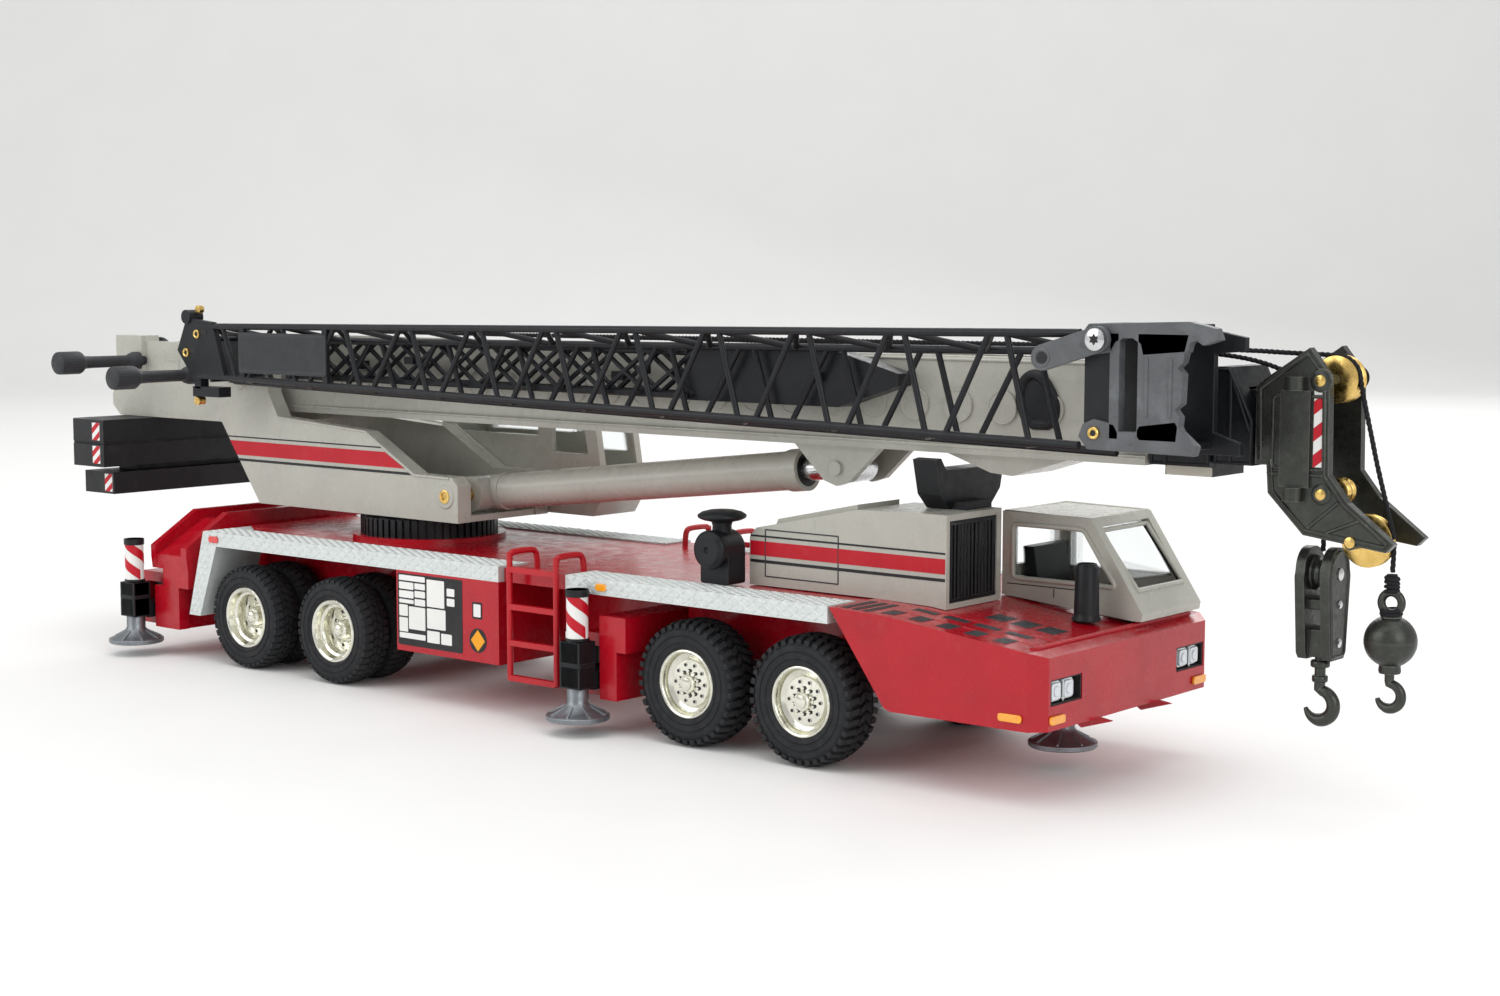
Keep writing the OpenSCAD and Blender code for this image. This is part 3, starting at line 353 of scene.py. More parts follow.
def painted(name, colour, dark, rough=0.3, dust=(0.6, 0.58, 0.54), dusty=0.25, coat=0.2):
    """Sprayed toy enamel: slight mottling, dust in patches, fine orange peel."""
    s = Shader(name, colour, rough, specular=0.32, coat=coat)
    s.set("Coat Roughness", 0.12)
    s.tint(s.times(s.ramp(s.noise(9, 5), 0.42, 0.68), 0.5), dark)
    s.tint(s.times(s.ramp(s.noise(2.2, 6, 0.7), 0.55, 0.75), dusty), dust)
    s.vary_rough(s.noise(3, 5), rough - 0.07, rough + 0.14)
    s.relief(s.noise(0.5, 3), 0.012)
    return s.material


def moulded(name, colour, light, rough=0.45, edge=0.35, grain=0.02):
    """Moulded plastic: satin, fine grain, sharp edges painted paler as a highlight."""
    s = Shader(name, colour, rough, specular=0.28)
    s.tint(s.times(s.ramp(s.noise(4, 5), 0.4, 0.75), 0.25), light)
    # Painted highlight: sharp edges are lightened towards a paler colour.
    s.tint(s.times(s.edges(0.18), edge), [c * 2.2 for c in light])
    s.vary_rough(s.noise(1.2, 5), rough - 0.08, rough + 0.12)
    s.relief(s.noise(0.22, 3), grain)
    return s.material


def metal(name, colour, tone, rough=0.3, metallic=1.0, edge=0.0, grain=0.01, mottle=0.6):
    """Cast, plated or turned metal with a little tarnish; with edge set, sharp edges get a painted
    highlight.
    """
    s = Shader(name, colour, rough, metallic=metallic)
    s.tint(s.times(s.ramp(s.noise(1.6, 6, 0.65), 0.42, 0.7), mottle), tone)
    # Painted highlight: sharp edges lightened by the amount edge gives.
    if edge:
        s.tint(s.times(s.edges(0.2), edge), [min(1, c * 3 + 0.12) for c in colour])
    s.vary_rough(s.noise(0.9, 5), rough - 0.08, rough + 0.14)
    s.relief(s.noise(0.3, 4), grain)
    return s.material


def rubber(name):
    s = Shader(name, (0.016, 0.017, 0.019), 0.7, specular=0.25)
    s.tint(s.times(s.ramp(s.noise(2.5, 6, 0.7), 0.45, 0.75), 0.35), (0.05, 0.05, 0.05))
    s.vary_rough(s.noise(1.5, 5), 0.58, 0.82)
    s.relief(s.noise(0.25, 4), 0.02)
    return s.material


def worn_swirls(name):
    """Grey moulded plastic with pale swirling flow marks."""
    s = Shader(name, (0.085, 0.09, 0.097), 0.40, specular=0.45)
    s.tint(s.times(s.ramp(s.noise(7, 5, 0.5, distort=1.2), 0.45, 0.7), 0.45), (0.17, 0.18, 0.19))
    s.tint(s.times(s.ramp(s.noise(3, 6, 0.6, distort=2.5), 0.56, 0.68), 0.45), (0.04, 0.042, 0.045))
    s.vary_rough(s.noise(1.5, 5), 0.32, 0.55)
    s.relief(s.noise(0.3, 4), 0.02)
    return s.material


def clear(name, colour, rough=0.03):
    s = Shader(name, colour, rough)
    s.set("Transmission Weight", 1.0)
    s.set("IOR", 1.08)
    s.set("Alpha", 0.35)
    s.vary_rough(s.noise(4, 3), rough, rough + 0.05)
    return s.material


def lens(name, colour, glow):
    """A moulded lamp lens: glossy, with a ribbed back that shows as fine relief."""
    s = Shader(name, colour, 0.12, specular=0.6, coat=0.6)
    s.tint(s.times(s.ramp(s.noise(0.6, 3), 0.4, 0.7), 0.5), glow)
    s.relief(s.noise(0.35, 2), 0.04)
    return s.material


RED = painted("red enamel", (0.43, 0.003, 0.013), (0.31, 0.002, 0.009), 0.22, dusty=0.025)
RED_PLASTIC = painted("red plastic", (0.46, 0.004, 0.012), (0.36, 0.003, 0.008), 0.34, dusty=0.03)
GREY = painted("pale grey enamel", (0.455, 0.45, 0.40), (0.385, 0.38, 0.34), 0.26,
               dust=(0.56, 0.555, 0.52), dusty=0.3)
WEIGHT = painted("black enamel", (0.014, 0.015, 0.017), (0.008, 0.008, 0.010), 0.42,
                 dust=(0.04, 0.04, 0.042), dusty=0.4, coat=0.0)
BLACK = moulded("black plastic", (0.008, 0.009, 0.011), (0.026, 0.027, 0.031), 0.38)
SMOKE = moulded("dark grey plastic and painted hole shade", (0.028, 0.030, 0.034), (0.06, 0.063, 0.068), 0.45)
WORN = worn_swirls("rubbed grey plastic")
PLATE = metal("tread plate", (0.66, 0.70, 0.69), (0.50, 0.54, 0.53), 0.42, metallic=0.35,
              grain=0.02, mottle=0.5)
# edge=0.3 paints a highlight along its sharp edges.
CAST = metal("grey cast metal", (0.24, 0.26, 0.28), (0.16, 0.17, 0.18), 0.38, metallic=0.8,
             edge=0.3, grain=0.02)
CHROME = metal("plated rim", (0.80, 0.79, 0.70), (0.60, 0.60, 0.50), 0.16, grain=0.008, mottle=0.5)
STEEL = metal("bright steel", (0.66, 0.67, 0.68), (0.50, 0.50, 0.51), 0.2, grain=0.006)
BRASS = metal("brass", (0.80, 0.55, 0.18), (0.55, 0.36, 0.10), 0.24, grain=0.006)
# edge=0.5 paints a highlight along its sharp edges.
GUNMETAL = metal("gunmetal with painted edge highlights", (0.050, 0.053, 0.047), (0.085, 0.09, 0.08), 0.32,
                 metallic=0.75, edge=0.5, grain=0.03, mottle=0.5)
TYRE = rubber("tyre rubber")
GLASS = clear("cab glazing", (0.9, 0.95, 0.95))
ROPE = moulded("black rope", (0.010, 0.010, 0.012), (0.03, 0.03, 0.034), 0.75, edge=0.0, grain=0.03)
WHITE = painted("white marking", (0.80, 0.80, 0.78), (0.70, 0.70, 0.68), 0.4, dusty=0.1, coat=0.0)
STRIPE_RED = painted("red marking", (0.50, 0.005, 0.018), (0.42, 0.004, 0.012), 0.38, dusty=0.03,
                     coat=0.0)
# Black print and lines, and also dark shapes painted as shade in holes and the screw socket.
INK_AND_SHADE = painted("black marking and painted shade", (0.015, 0.015, 0.017), (0.02, 0.02, 0.02), 0.45, dusty=0.05,
              coat=0.0)
AMBER = lens("amber lens", (0.90, 0.33, 0.01), (1.0, 0.50, 0.05))
RED_LENS = lens("red lens", (0.62, 0.012, 0.012), (0.8, 0.03, 0.02))
CLEAR_LENS = lens("headlamp lens", (0.62, 0.66, 0.70), (0.85, 0.87, 0.9))
BEIGE = moulded("beige wear pad", (0.50, 0.47, 0.40), (0.58, 0.55, 0.48), 0.5, edge=0.1)


# ---------------------------------------------------------------- CAD nodes kept as they are
def dress(material, *nodes, bevel=0.0):
    """Gives CAD nodes a material, and small rounded edges where they are moulded."""
    for name in nodes:
        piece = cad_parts[name]
        if not piece.material_slots:
            piece.data.materials.append(material)
        for holder in piece.material_slots:
            holder.material = material
        if bevel:
            round_edges(piece, bevel)


dress(RED, "chassis", bevel=0.25)
dress(GREY, "carrier_cab", "engine_hood", "superstructure", "operator_cab", bevel=0.3)
dress(GREY, "lift_cylinder", "boom_base", bevel=0.15)
dress(WEIGHT, "counterweight", bevel=0.3)
dress(PLATE, "deck_plates", bevel=0.15)
dress(BLACK, "radiator_grille", "slew_gear", "front_winch", "rear_winch", "boom_section_2",
      "boom_section_3", "boom_section_4", "jib_fly", "jib_link", bevel=0.12)
dress(BLACK, "air_cleaner", "beam_mid_right", "beam_mid_left", "beam_rear_right",
      "beam_rear_left", "carrier_cab_interior", bevel=0.15)
dress(WORN, "jib_bracket", bevel=0.15)
dress(CAST, "jack_mid_right", "jack_mid_left", "jack_rear_right", "jack_rear_left", "front_jack",
      "steer_beam_1", "steer_beam_2", bevel=0.1)
dress(STEEL, "lift_rod", bevel=0.1)
dress(BRASS, "pivot_pins", "jib_pins", "top_sheave", "guide_sheave", "nose_sheave")
dress(GUNMETAL, "boom_head", "hook_block", "main_hook", "hook_ball", bevel=0.12)
dress(GLASS, "carrier_cab_glass", "operator_cab_glass")
dress(AMBER, "lamps")
dress(CHROME, "wheelset_1", "wheelset_2", "wheelset_3", "wheelset_4")
dress(TYRE, "tyres_1", "tyres_2", "tyres_3", "tyres_4")
dress(BLACK, "jib_lattice", "jib_lacing")
dress(RED_PLASTIC, "ladders")
dress(ROPE, "main_rope", "aux_rope", "main_rope_tail", "aux_rope_tail")


# ---------------------------------------------------------------- ropes
# The routes are the design's own, in bumper-frame millimetres.
ROPE_D = 0.8
MAIN_ROUTE = [(-188, 1.4, 66.5), (-150, 1.4, 66.5), (-100, 1.4, 66.6), (-50, 1.4, 66.7),
              (0, 1.4, 66.7), (8, 1.2, 66.8), (18, 1, 66), (26, 0.75, 63.6), (29.6, 0.75, 60),
              (31, 0.75, 55), (31.5, 0.75, 50), (31.7, 0.75, 47.4)]
TOP_SHEAVE = (33.2, 63.5)
AUX_ROUTE = [(-188, -1.4, 66.5), (-150, -1.4, 66.6), (-100, -1.4, 66.9), (-50, -1.4, 67.2),
             (0, -1.2, 67.5), (14, -1, 67.4), (26, -0.75, 67.1),
             *arc_points(TOP_SHEAVE, 3.4, 90, 15, 5, -0.75),
             (37.4, -0.7, 60), (39.6, -0.4, 50.6), (41.5, -0.1, 43.2), (41.95, 0, 41.1)]
MAIN_TAIL = [(31.7, -0.75, 47), (31.6, -0.7, 44), (31.4, -0.2, 41), (31.3, 0, 38.6)]
AUX_TAIL = [(42, 0, 40.6), (42, 0, 38.4), (41.9, 0, 36.4)]


def rope_length(points):
    return sum((Vector(b) - Vector(a)).length for a, b in zip(points, points[1:]))


def twisted_rope(points, name, body, step=0.4, lay=2.6):
    """Three strands laid round one another along a route."""
    total = rope_length(points)
    stations = max(4, int(total / step))
    path, segment, walked = [], 0, 0.0
    for i in range(stations + 1):
        target = total * i / stations
        while segment < len(points) - 2:
            length = (Vector(points[segment + 1]) - Vector(points[segment])).length
            if walked + length >= target:
                break
            walked += length
            segment += 1
        a, b = Vector(points[segment]), Vector(points[segment + 1])
        at = min(1.0, (target - walked) / max((b - a).length, 1e-6))
        path.append(a.lerp(b, at))
    b = Build()
    strand_r = ROPE_D * 0.27
    for strand in range(3):
        pts, side = [], None
        for i, p in enumerate(path):
            ahead = (path[min(i + 1, stations)] - path[max(i - 1, 0)]).normalized()
            side = side or ahead.orthogonal().normalized()
            side = (side - ahead * side.dot(ahead)).normalized()
            turn = 2 * math.pi * (total * i / stations / lay + strand / 3)
            out = math.cos(turn) * side + math.sin(turn) * ahead.cross(side)
            pts.append(p + (ROPE_D / 2 - strand_r) * out)
        b.tube(pts, strand_r, sides=5)
    return b.done(name, body, ROPE, "black_rope", smooth=80)


def hoist_rope(name, route, node):
    """A long rope from the boom's tail to its head."""
    points = smooth_path(route, 6)
    rope = twisted_rope(points, name, None)
    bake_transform(rope)
    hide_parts(node)


hoist_rope("main_hoist_rope", MAIN_ROUTE, "main_rope")
hoist_rope("aux_hoist_rope", AUX_ROUTE, "aux_rope")
for tail_name, tail_route, tail_node, fall, load in (
        ("main_rope_end", MAIN_TAIL, "main_rope_tail", "main_fall", "block"),
        ("aux_rope_end", AUX_TAIL, "aux_rope_tail", "aux_fall", "ball")):
    tail = twisted_rope(smooth_path(tail_route, 6), tail_name, None, step=0.25)
    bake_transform(tail)
    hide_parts(tail_node)


# ---------------------------------------------------------------- wheels
def span(node):
    """A node's lowest and highest corners, in bumper-frame millimetres."""
    low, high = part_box(node)
    return local(low), local(high)


def ring_point(centre, r, angle, y):
    return (centre.x + r * math.cos(angle), y, centre.z + r * math.sin(angle))


def add_tyre(b, centre, r, rim_r, near, far, tread):
    """A tyre between two y stations; near is the one towards the middle of the truck."""
    out = 1 if far > near else -1
    width = abs(far - near)
    base = r - tread["depth"]
    section = [(rim_r, 0.35), (rim_r + 0.5, 0.0), (base - 1.5, 0.0), (base - 0.5, 0.25),
               (base, 0.9), (base, width - 0.9), (base - 0.5, width - 0.25), (base - 1.2, width),
               (base - 1.7, width), (base - 1.8, width - 0.14), (base - 1.95, width - 0.14),
               (base - 2.05, width), (base - 2.9, width - 0.02), (base - 3.0, width - 0.16),
               (base - 3.12, width - 0.16), (base - 3.25, width - 0.04),
               (rim_r + 0.45, width - 0.1), (rim_r, width - 0.4)]
    b.turned([(radius, near + out * t) for radius, t in section], (centre.x, 0, centre.z), "y", 72)
    pitch = 2 * math.pi / tread["lugs"]
    for i in range(tread["lugs"]):
        for shift, t0, t1, drop0, drop1, skew, share in tread["rows"]:
            start = pitch * (i + shift)
            rings = []
            for t, drop, turn in ((t0, drop0, 0), (t1, drop1, skew * pitch)):
                y = near + out * t * width
                a0, a1 = start + turn, start + turn + share * pitch
                rings.append([ring_point(centre, base - 0.6, a0, y),
                              ring_point(centre, base - 0.6, a1, y),
                              ring_point(centre, r - drop, a1, y),
                              ring_point(centre, r - drop, a0, y)])
            b.loft(rings)


# Tread rows: shift, start, end across the width, drop at each end, skew, share of the pitch
CHUNKY = {"lugs": 38, "depth": 0.75, "rows": (
    (0.0, 0.0, 0.27, 0.55, 0.0, 0.25, 0.56), (0.3, 0.31, 0.49, 0.0, 0.0, 0.5, 0.6),
    (0.8, 0.52, 0.70, 0.0, 0.0, -0.5, 0.6), (0.5, 0.73, 1.0, 0.0, 0.55, -0.25, 0.56))}
RIBBED = {"lugs": 40, "depth": 0.4, "rows": (
    (0.0, 0.02, 0.30, 0.45, 0.0, 0.2, 0.72), (0.4, 0.34, 0.49, 0.0, 0.0, 0.3, 0.8),
    (0.9, 0.52, 0.67, 0.0, 0.0, -0.3, 0.8), (0.5, 0.70, 0.98, 0.0, 0.45, -0.2, 0.72))}


def hole_ring(b, centre, y, out, radius, count, r, depth, start=0.0):
    """Small round studs or cups in a circle; negative depth makes them stand proud."""
    for i in range(count):
        a = 2 * math.pi * (i + start) / count
        spot = ring_point(centre, radius, a, y)
        b.rod(spot, r, min(0, -out * depth), max(0, -out * depth), "y", 12)


def add_front_rim(metal_part, hole_shade_part, centre, side, face):
    """Bright steer rim: rolled lip, stepped bowl, raised disc with hand holes, nuts and a hub."""
    lip = 5.87
    section = [(0, -4.5), (lip, -6.6), (lip, -0.1), (lip - 0.15, 0.05), (lip - 0.35, 0.1),
               (lip - 0.55, 0.0), (lip - 0.75, -0.35), (lip - 0.85, -1.3), (4.45, -1.75),
               (4.2, -1.8), (4.05, -1.35), (3.9, -1.2), (1.75, -1.05), (1.6, -0.9), (1.55, -0.35),
               (1.45, -0.2), (1.15, -0.15), (1.05, 0.1), (0.6, 0.22), (0, 0.25)]
    metal_part.turned([(r, face + side * t) for r, t in section], (centre.x, 0, centre.z), "y", 64,
                      closed=False)
    # No holes are cut: dark discs at the hand holes and under each nut are painted shade.
    hole_ring(hole_shade_part, centre, face - side * 1.1, side, 3.15, 10, 0.30, -0.03)
    hole_ring(metal_part, centre, face - side * 1.1, side, 3.15, 10, 0.42, -0.012)
    hole_ring(hole_shade_part, centre, face - side * 1.0, side, 2.1, 10, 0.33, -0.10, 0.5)
    hole_ring(metal_part, centre, face - side * 1.05, side, 2.1, 10, 0.2, -0.42, 0.5)


def add_rear_rim(metal_part, hole_shade_part, centre, side, face):
    """Deep-dished drive rim with a domed hub cap."""
    lip = 6.1
    section = [(0, -6.0), (lip, -12.6), (lip, -0.1), (lip - 0.2, 0.06), (lip - 0.5, 0.1),
               (lip - 0.8, -0.1), (lip - 1.0, -0.7), (lip - 1.15, -1.2), (4.5, -1.35),
               (4.35, -1.6), (4.25, -3.5), (4.0, -3.8), (3.1, -3.7), (2.95, -3.45), (2.0, -3.4),
               (1.9, -3.2), (1.75, -1.9), (1.6, -1.7), (1.2, -1.6), (1.05, -1.15), (0.7, -0.95),
               (0, -0.9)]
    metal_part.turned([(r, face + side * t) for r, t in section], (centre.x, 0, centre.z), "y", 64,
                      closed=False)
    hole_ring(metal_part, centre, face - side * 3.42, side, 2.5, 10, 0.22, -0.5)
    # No holes are cut: these dark discs are the rim's holes as painted shade.
    hole_ring(hole_shade_part, centre, face - side * 3.72, side, 3.5, 8, 0.36, -0.03, 0.5)


def make_wheels():
    for k in (1, 2, 3, 4):
        low, high = span(f"tyres_{k}")
        centre = (low + high) / 2
        r = (high.z - low.z) / 2
        body = f"wheels_{k}"
        rubber_part, rim_part, hole_shade_part = Build(), Build(), Build()
        for side in SIDES:
            outer = side * high.y
            face = side * (high.y - 0.35)
            if k <= 2:
                add_tyre(rubber_part, centre, r, 5.87, outer - side * 7.5, outer, CHUNKY)
                add_front_rim(rim_part, hole_shade_part, centre, side, face)
            else:
                add_tyre(rubber_part, centre, r, 6.1, outer - side * 6, outer, RIBBED)
                add_tyre(rubber_part, centre, r, 6.1, outer - side * 13.5, outer - side * 7.5,
                         RIBBED)
                add_rear_rim(rim_part, hole_shade_part, centre, side, face)
        rim_part.rod((centre.x, 0, centre.z), 1.5, -high.y + 6, high.y - 6, "y", 24)
        rubber_part.done(f"tyres_axle_{k}", body, TYRE, "tyre_rubber", replaces=[f"tyres_{k}"])
        rim_part.done(f"rims_axle_{k}", body, CHROME, "chrome_rim", smooth=30,
                      replaces=[f"wheelset_{k}"])
        # Dark discs painted as shade in the rims' holes.
        hole_shade_part.done(f"rim_hole_shade_axle_{k}", body, SMOKE, "chrome_rim")


make_wheels()


# ---------------------------------------------------------------- carrier details
HALF_W = 25.9


def tread_bumps(b, origin, u, v, normal, size, pitch=1.25, height=0.16):
    """Rows of crossed lozenges pressed in a sheet; u and v are unit vectors, size their lengths."""
    origin, u, v, normal = Vector(origin), Vector(u), Vector(v), Vector(normal)
    across = int(size[0] / pitch)
    down = int(size[1] / (pitch * 0.62))
    for j in range(down):
        for i in range(across):
            lean = 1 if (i + j) % 2 else -1
            centre = origin + u * (i + 0.5) * size[0] / across + v * (j + 0.5) * size[1] / down
            long_way = (u * lean + v * 0.75).normalized() * pitch * 0.48
            short_way = (u * -0.75 * lean + v).normalized() * pitch * 0.16
            base = [centre + long_way, centre + short_way, centre - long_way, centre - short_way]
            tip = [centre + (p - centre) * 0.45 + normal * height for p in base]
            b.loft([base, tip])


def make_tread_plate():
    """Lozenge relief on the deck strips, their edges and the slanted mudguards."""
    deck_top = span("deck_plates")[1].z
    for side in SIDES:
        b = Build()
        for x0, x1 in ((-197.0, -112.8), (-95.9, -39.6)):
            tread_bumps(b, (x0, side * 18.8, deck_top), (1, 0, 0), (0, side, 0), (0, 0, 1),
                        (x1 - x0, 7.0), height=0.12)
            tread_bumps(b, (x0, side * HALF_W, 24.0), (1, 0, 0), (0, 0, 1), (0, side, 0),
                        (x1 - x0, 2.6), height=0.12)
        slope = (Vector((-202.2, 0, 9.4)) - Vector((-197.1, 0, 26.7))).normalized()
        tread_bumps(b, (-197.0, side * HALF_W, 26.4), slope, (1, 0, 0), (0, side, 0),
                    (17.4, 3.4), height=0.12)
        tread_bumps(b, (-197.1, side * 14.2, 26.4), slope, (0, side, 0),
                    (slope.z, 0, -slope.x), (17.4, 11.5), height=0.12)
        b.done(f"tread_relief_{'left' if side > 0 else 'right'}", "carrier", PLATE, "tread_plate",
               smooth=20)


def make_ladders():
    """Moulded ladder with two hoops over the deck edge, on each flank."""
    low, high = span("ladders")
    half = 0.55
    rails = (low.x + half, high.x - half)
    y = low.y + half
    b = Build()
    for side in SIDES:
        for x in rails:
            path = [(x, y, low.z + 0.8), (x, y, 27.6), (x, y + 0.25, 29.2), (x, y + 1.3, 29.65),
                    (x, y + 5.2, 29.65), (x, y + 6.4, 29.2), (x, y + 6.8, 28), (x, y + 6.9, 26.4)]
            path = smooth_path(path, 5)
            path[0].z = low.z + 0.3
            b.tube(mirrored(path, side), half, sides=14)
        for z in (7.45, 13.7, 20.1, 26.7):
            b.plate([(rails[0], z - 0.5), (rails[1], z - 0.5), (rails[1], z + 0.5),
                     (rails[0], z + 0.5)], -y * side - 0.5, -y * side + 0.5)
    b.done("boarding_ladders", "carrier", RED_PLASTIC, "red_plastic", bevel=0.2,
           replaces=["ladders"])


def patch(b, origin, u, v, outline, thick=0.06):
    """A thin sticker: outline points in the u-v plane, standing proud by thick."""
    origin, u, v = Vector(origin), Vector(u).normalized(), Vector(v).normalized()
    out = u.cross(v)
    return b.loft([[origin + u * p + v * q + out * t for p, q in outline] for t in (0, thick)])


def rect(x0, x1, z0, z1):
    return [(x0, z0), (x1, z0), (x1, z1), (x0, z1)]


def rounded(x0, x1, z0, z1, r, steps=5):
    """A rectangle with round corners."""
    out = []
    for cx, cz, start in ((x1 - r, z0 + r, -90), (x1 - r, z1 - r, 0), (x0 + r, z1 - r, 90),
                          (x0 + r, z0 + r, 180)):
        for i in range(steps + 1):
            a = math.radians(start + 90 * i / steps)
            out.append((cx + r * math.cos(a), cz + r * math.sin(a)))
    return out


def clip_half(points, normal, limit):
    """The part of a convex outline where the dot product with normal is at most limit."""
    out = []
    count = len(points)
    for i in range(count):
        a, b = points[i], points[(i + 1) % count]
        da = a[0] * normal[0] + a[1] * normal[1] - limit
        db = b[0] * normal[0] + b[1] * normal[1] - limit
        if da <= 0:
            out.append(a)
        if da * db < 0:
            t = da / (da - db)
            out.append((a[0] + (b[0] - a[0]) * t, a[1] + (b[1] - a[1]) * t))
    return out


def diagonal_bands(size, width, slope, start=0.0):
    """The parts of slanted bands that fall inside a size[0] by size[1] rectangle."""
    outlines = []
    n = (math.sin(slope), math.cos(slope))
    reach = size[0] * abs(n[0]) + size[1] * abs(n[1])
    low = min(0, size[0] * n[0])
    at = low + start
    while at < low + reach:
        piece = clip_half(clip_half(rect(0, size[0], 0, size[1]), n, at + width),
                          (-n[0], -n[1]), -at)
        if len(piece) > 2:
            outlines.append(piece)
        at += 2 * width
    return outlines


def make_label_panels():
    """Blank sign plate, plain white blocks on it, a white square and an amber diamond."""
    black, white, amber = Build(), Build(), Build()
    for side in SIDES:
        u, v = ((1, 0, 0), (0, 0, 1)) if side < 0 else ((-1, 0, 0), (0, 0, 1))
        origin = Vector((-139.3, -HALF_W, 9.2)) if side < 0 else Vector((-112.8, HALF_W, 9.2))
        patch(black, origin, u, v, rounded(0.2, 17.4, 0.9, 14.2, 0.3), 0.05)
        patch(black, origin, u, v, rounded(20.0, 22.5, 7.6, 10.6, 0.2), 0.05)
        ring = [(21.4 + 2.2 * math.cos(a), 3.7 + 2.2 * math.sin(a))
                for a in (2 * math.pi * i / 32 for i in range(32))]
        patch(black, origin, u, v, ring, 0.05)
        lifted = origin + Vector((0, 0.05 * side, 0))
        patch(amber, lifted, u, v, [(21.4, 1.75), (23.2, 3.7), (21.4, 5.65), (19.6, 3.7)], 0.05)
        blocks = [(0.6, 7.6, 12.9, 13.9), (0.6, 4.5, 11.3, 12.6), (4.8, 7.6, 11.5, 12.6),
                  (0.6, 4.5, 9.7, 11.0), (4.8, 7.6, 10.0, 11.2), (0.6, 4.5, 8.7, 9.4),
                  (4.8, 7.6, 8.5, 9.7), (0.6, 2.9, 6.3, 8.4), (3.2, 7.6, 4.0, 8.2),
                  (0.6, 2.9, 3.4, 6.0), (0.6, 7.6, 2.2, 3.2), (8.1, 12.7, 8.6, 13.6),
                  (8.1, 13.0, 4.6, 8.3), (8.1, 11.4, 2.0, 4.2), (11.8, 14.6, 2.0, 4.0),
                  (13.4, 15.4, 11.0, 12.4), (13.4, 15.4, 9.2, 10.6)]
        for x0, x1, z0, z1 in blocks:
            patch(white, lifted, u, v, rounded(x0, x1, z0, z1, 0.15, 2), 0.04)
        patch(white, lifted, u, v, rounded(20.35, 22.15, 7.95, 10.25, 0.15, 2), 0.04)
    black.done("side_panel_black", "carrier", INK_AND_SHADE, "black_paint")
    white.done("side_panel_white", "carrier", WHITE, "black_paint")
    amber.done("side_panel_amber", "carrier", AMBER_PAINT, "black_paint")


def make_deck_pads():
    """Dark anti-slip pads on the front deck, which slopes gently to the bumper."""
    b = Build()
    far_x, far_z, near_x, near_z = -27.8, 26.2, -2.3, 23.3

    def surface(x):
        if x < far_x:
            return 26.6 - (x + 38.4) * 0.4 / 10.6
        return far_z - (x - far_x) * (far_z - near_z) / (near_x - far_x)

    def pad(x0, x1, y0, y1):
        rows = [[(x, y, surface(x) + t) for x, y in ((x0, y0), (x1, y0), (x1, y1), (x0, y1))]
                for t in (-0.02, 0.07)]
        b.loft(rows)

    for i in range(5):
        x = -30.2 + i * 5.1
        pad(x, x + 2.5, -24.0, -20.6)
    for i in range(4):
        x = -28.6 + i * 5.7
        pad(x, x + 4.3, -18.0, -16.2)
    for i in range(3):
        x = -19.2 + i * 4.6
        pad(x, x + 3.4, -11.8, -7.6)
    for i in range(3):
        pad(-37.6 + i * 2.1, -36.4 + i * 2.1, -24.6, -16.4)
    b.done("anti_slip_pads", "carrier", SMOKE, "black_paint", smooth=20)
    seams = Build()
    for y in (-20.6, -15.4):
        pts = [(x, y, surface(x)) for x in (-28, -15, -4.2)]
        seams.tube(pts, 0.09, sides=6)
    seams.done("deck_seams", "carrier", RED, "red_paint")


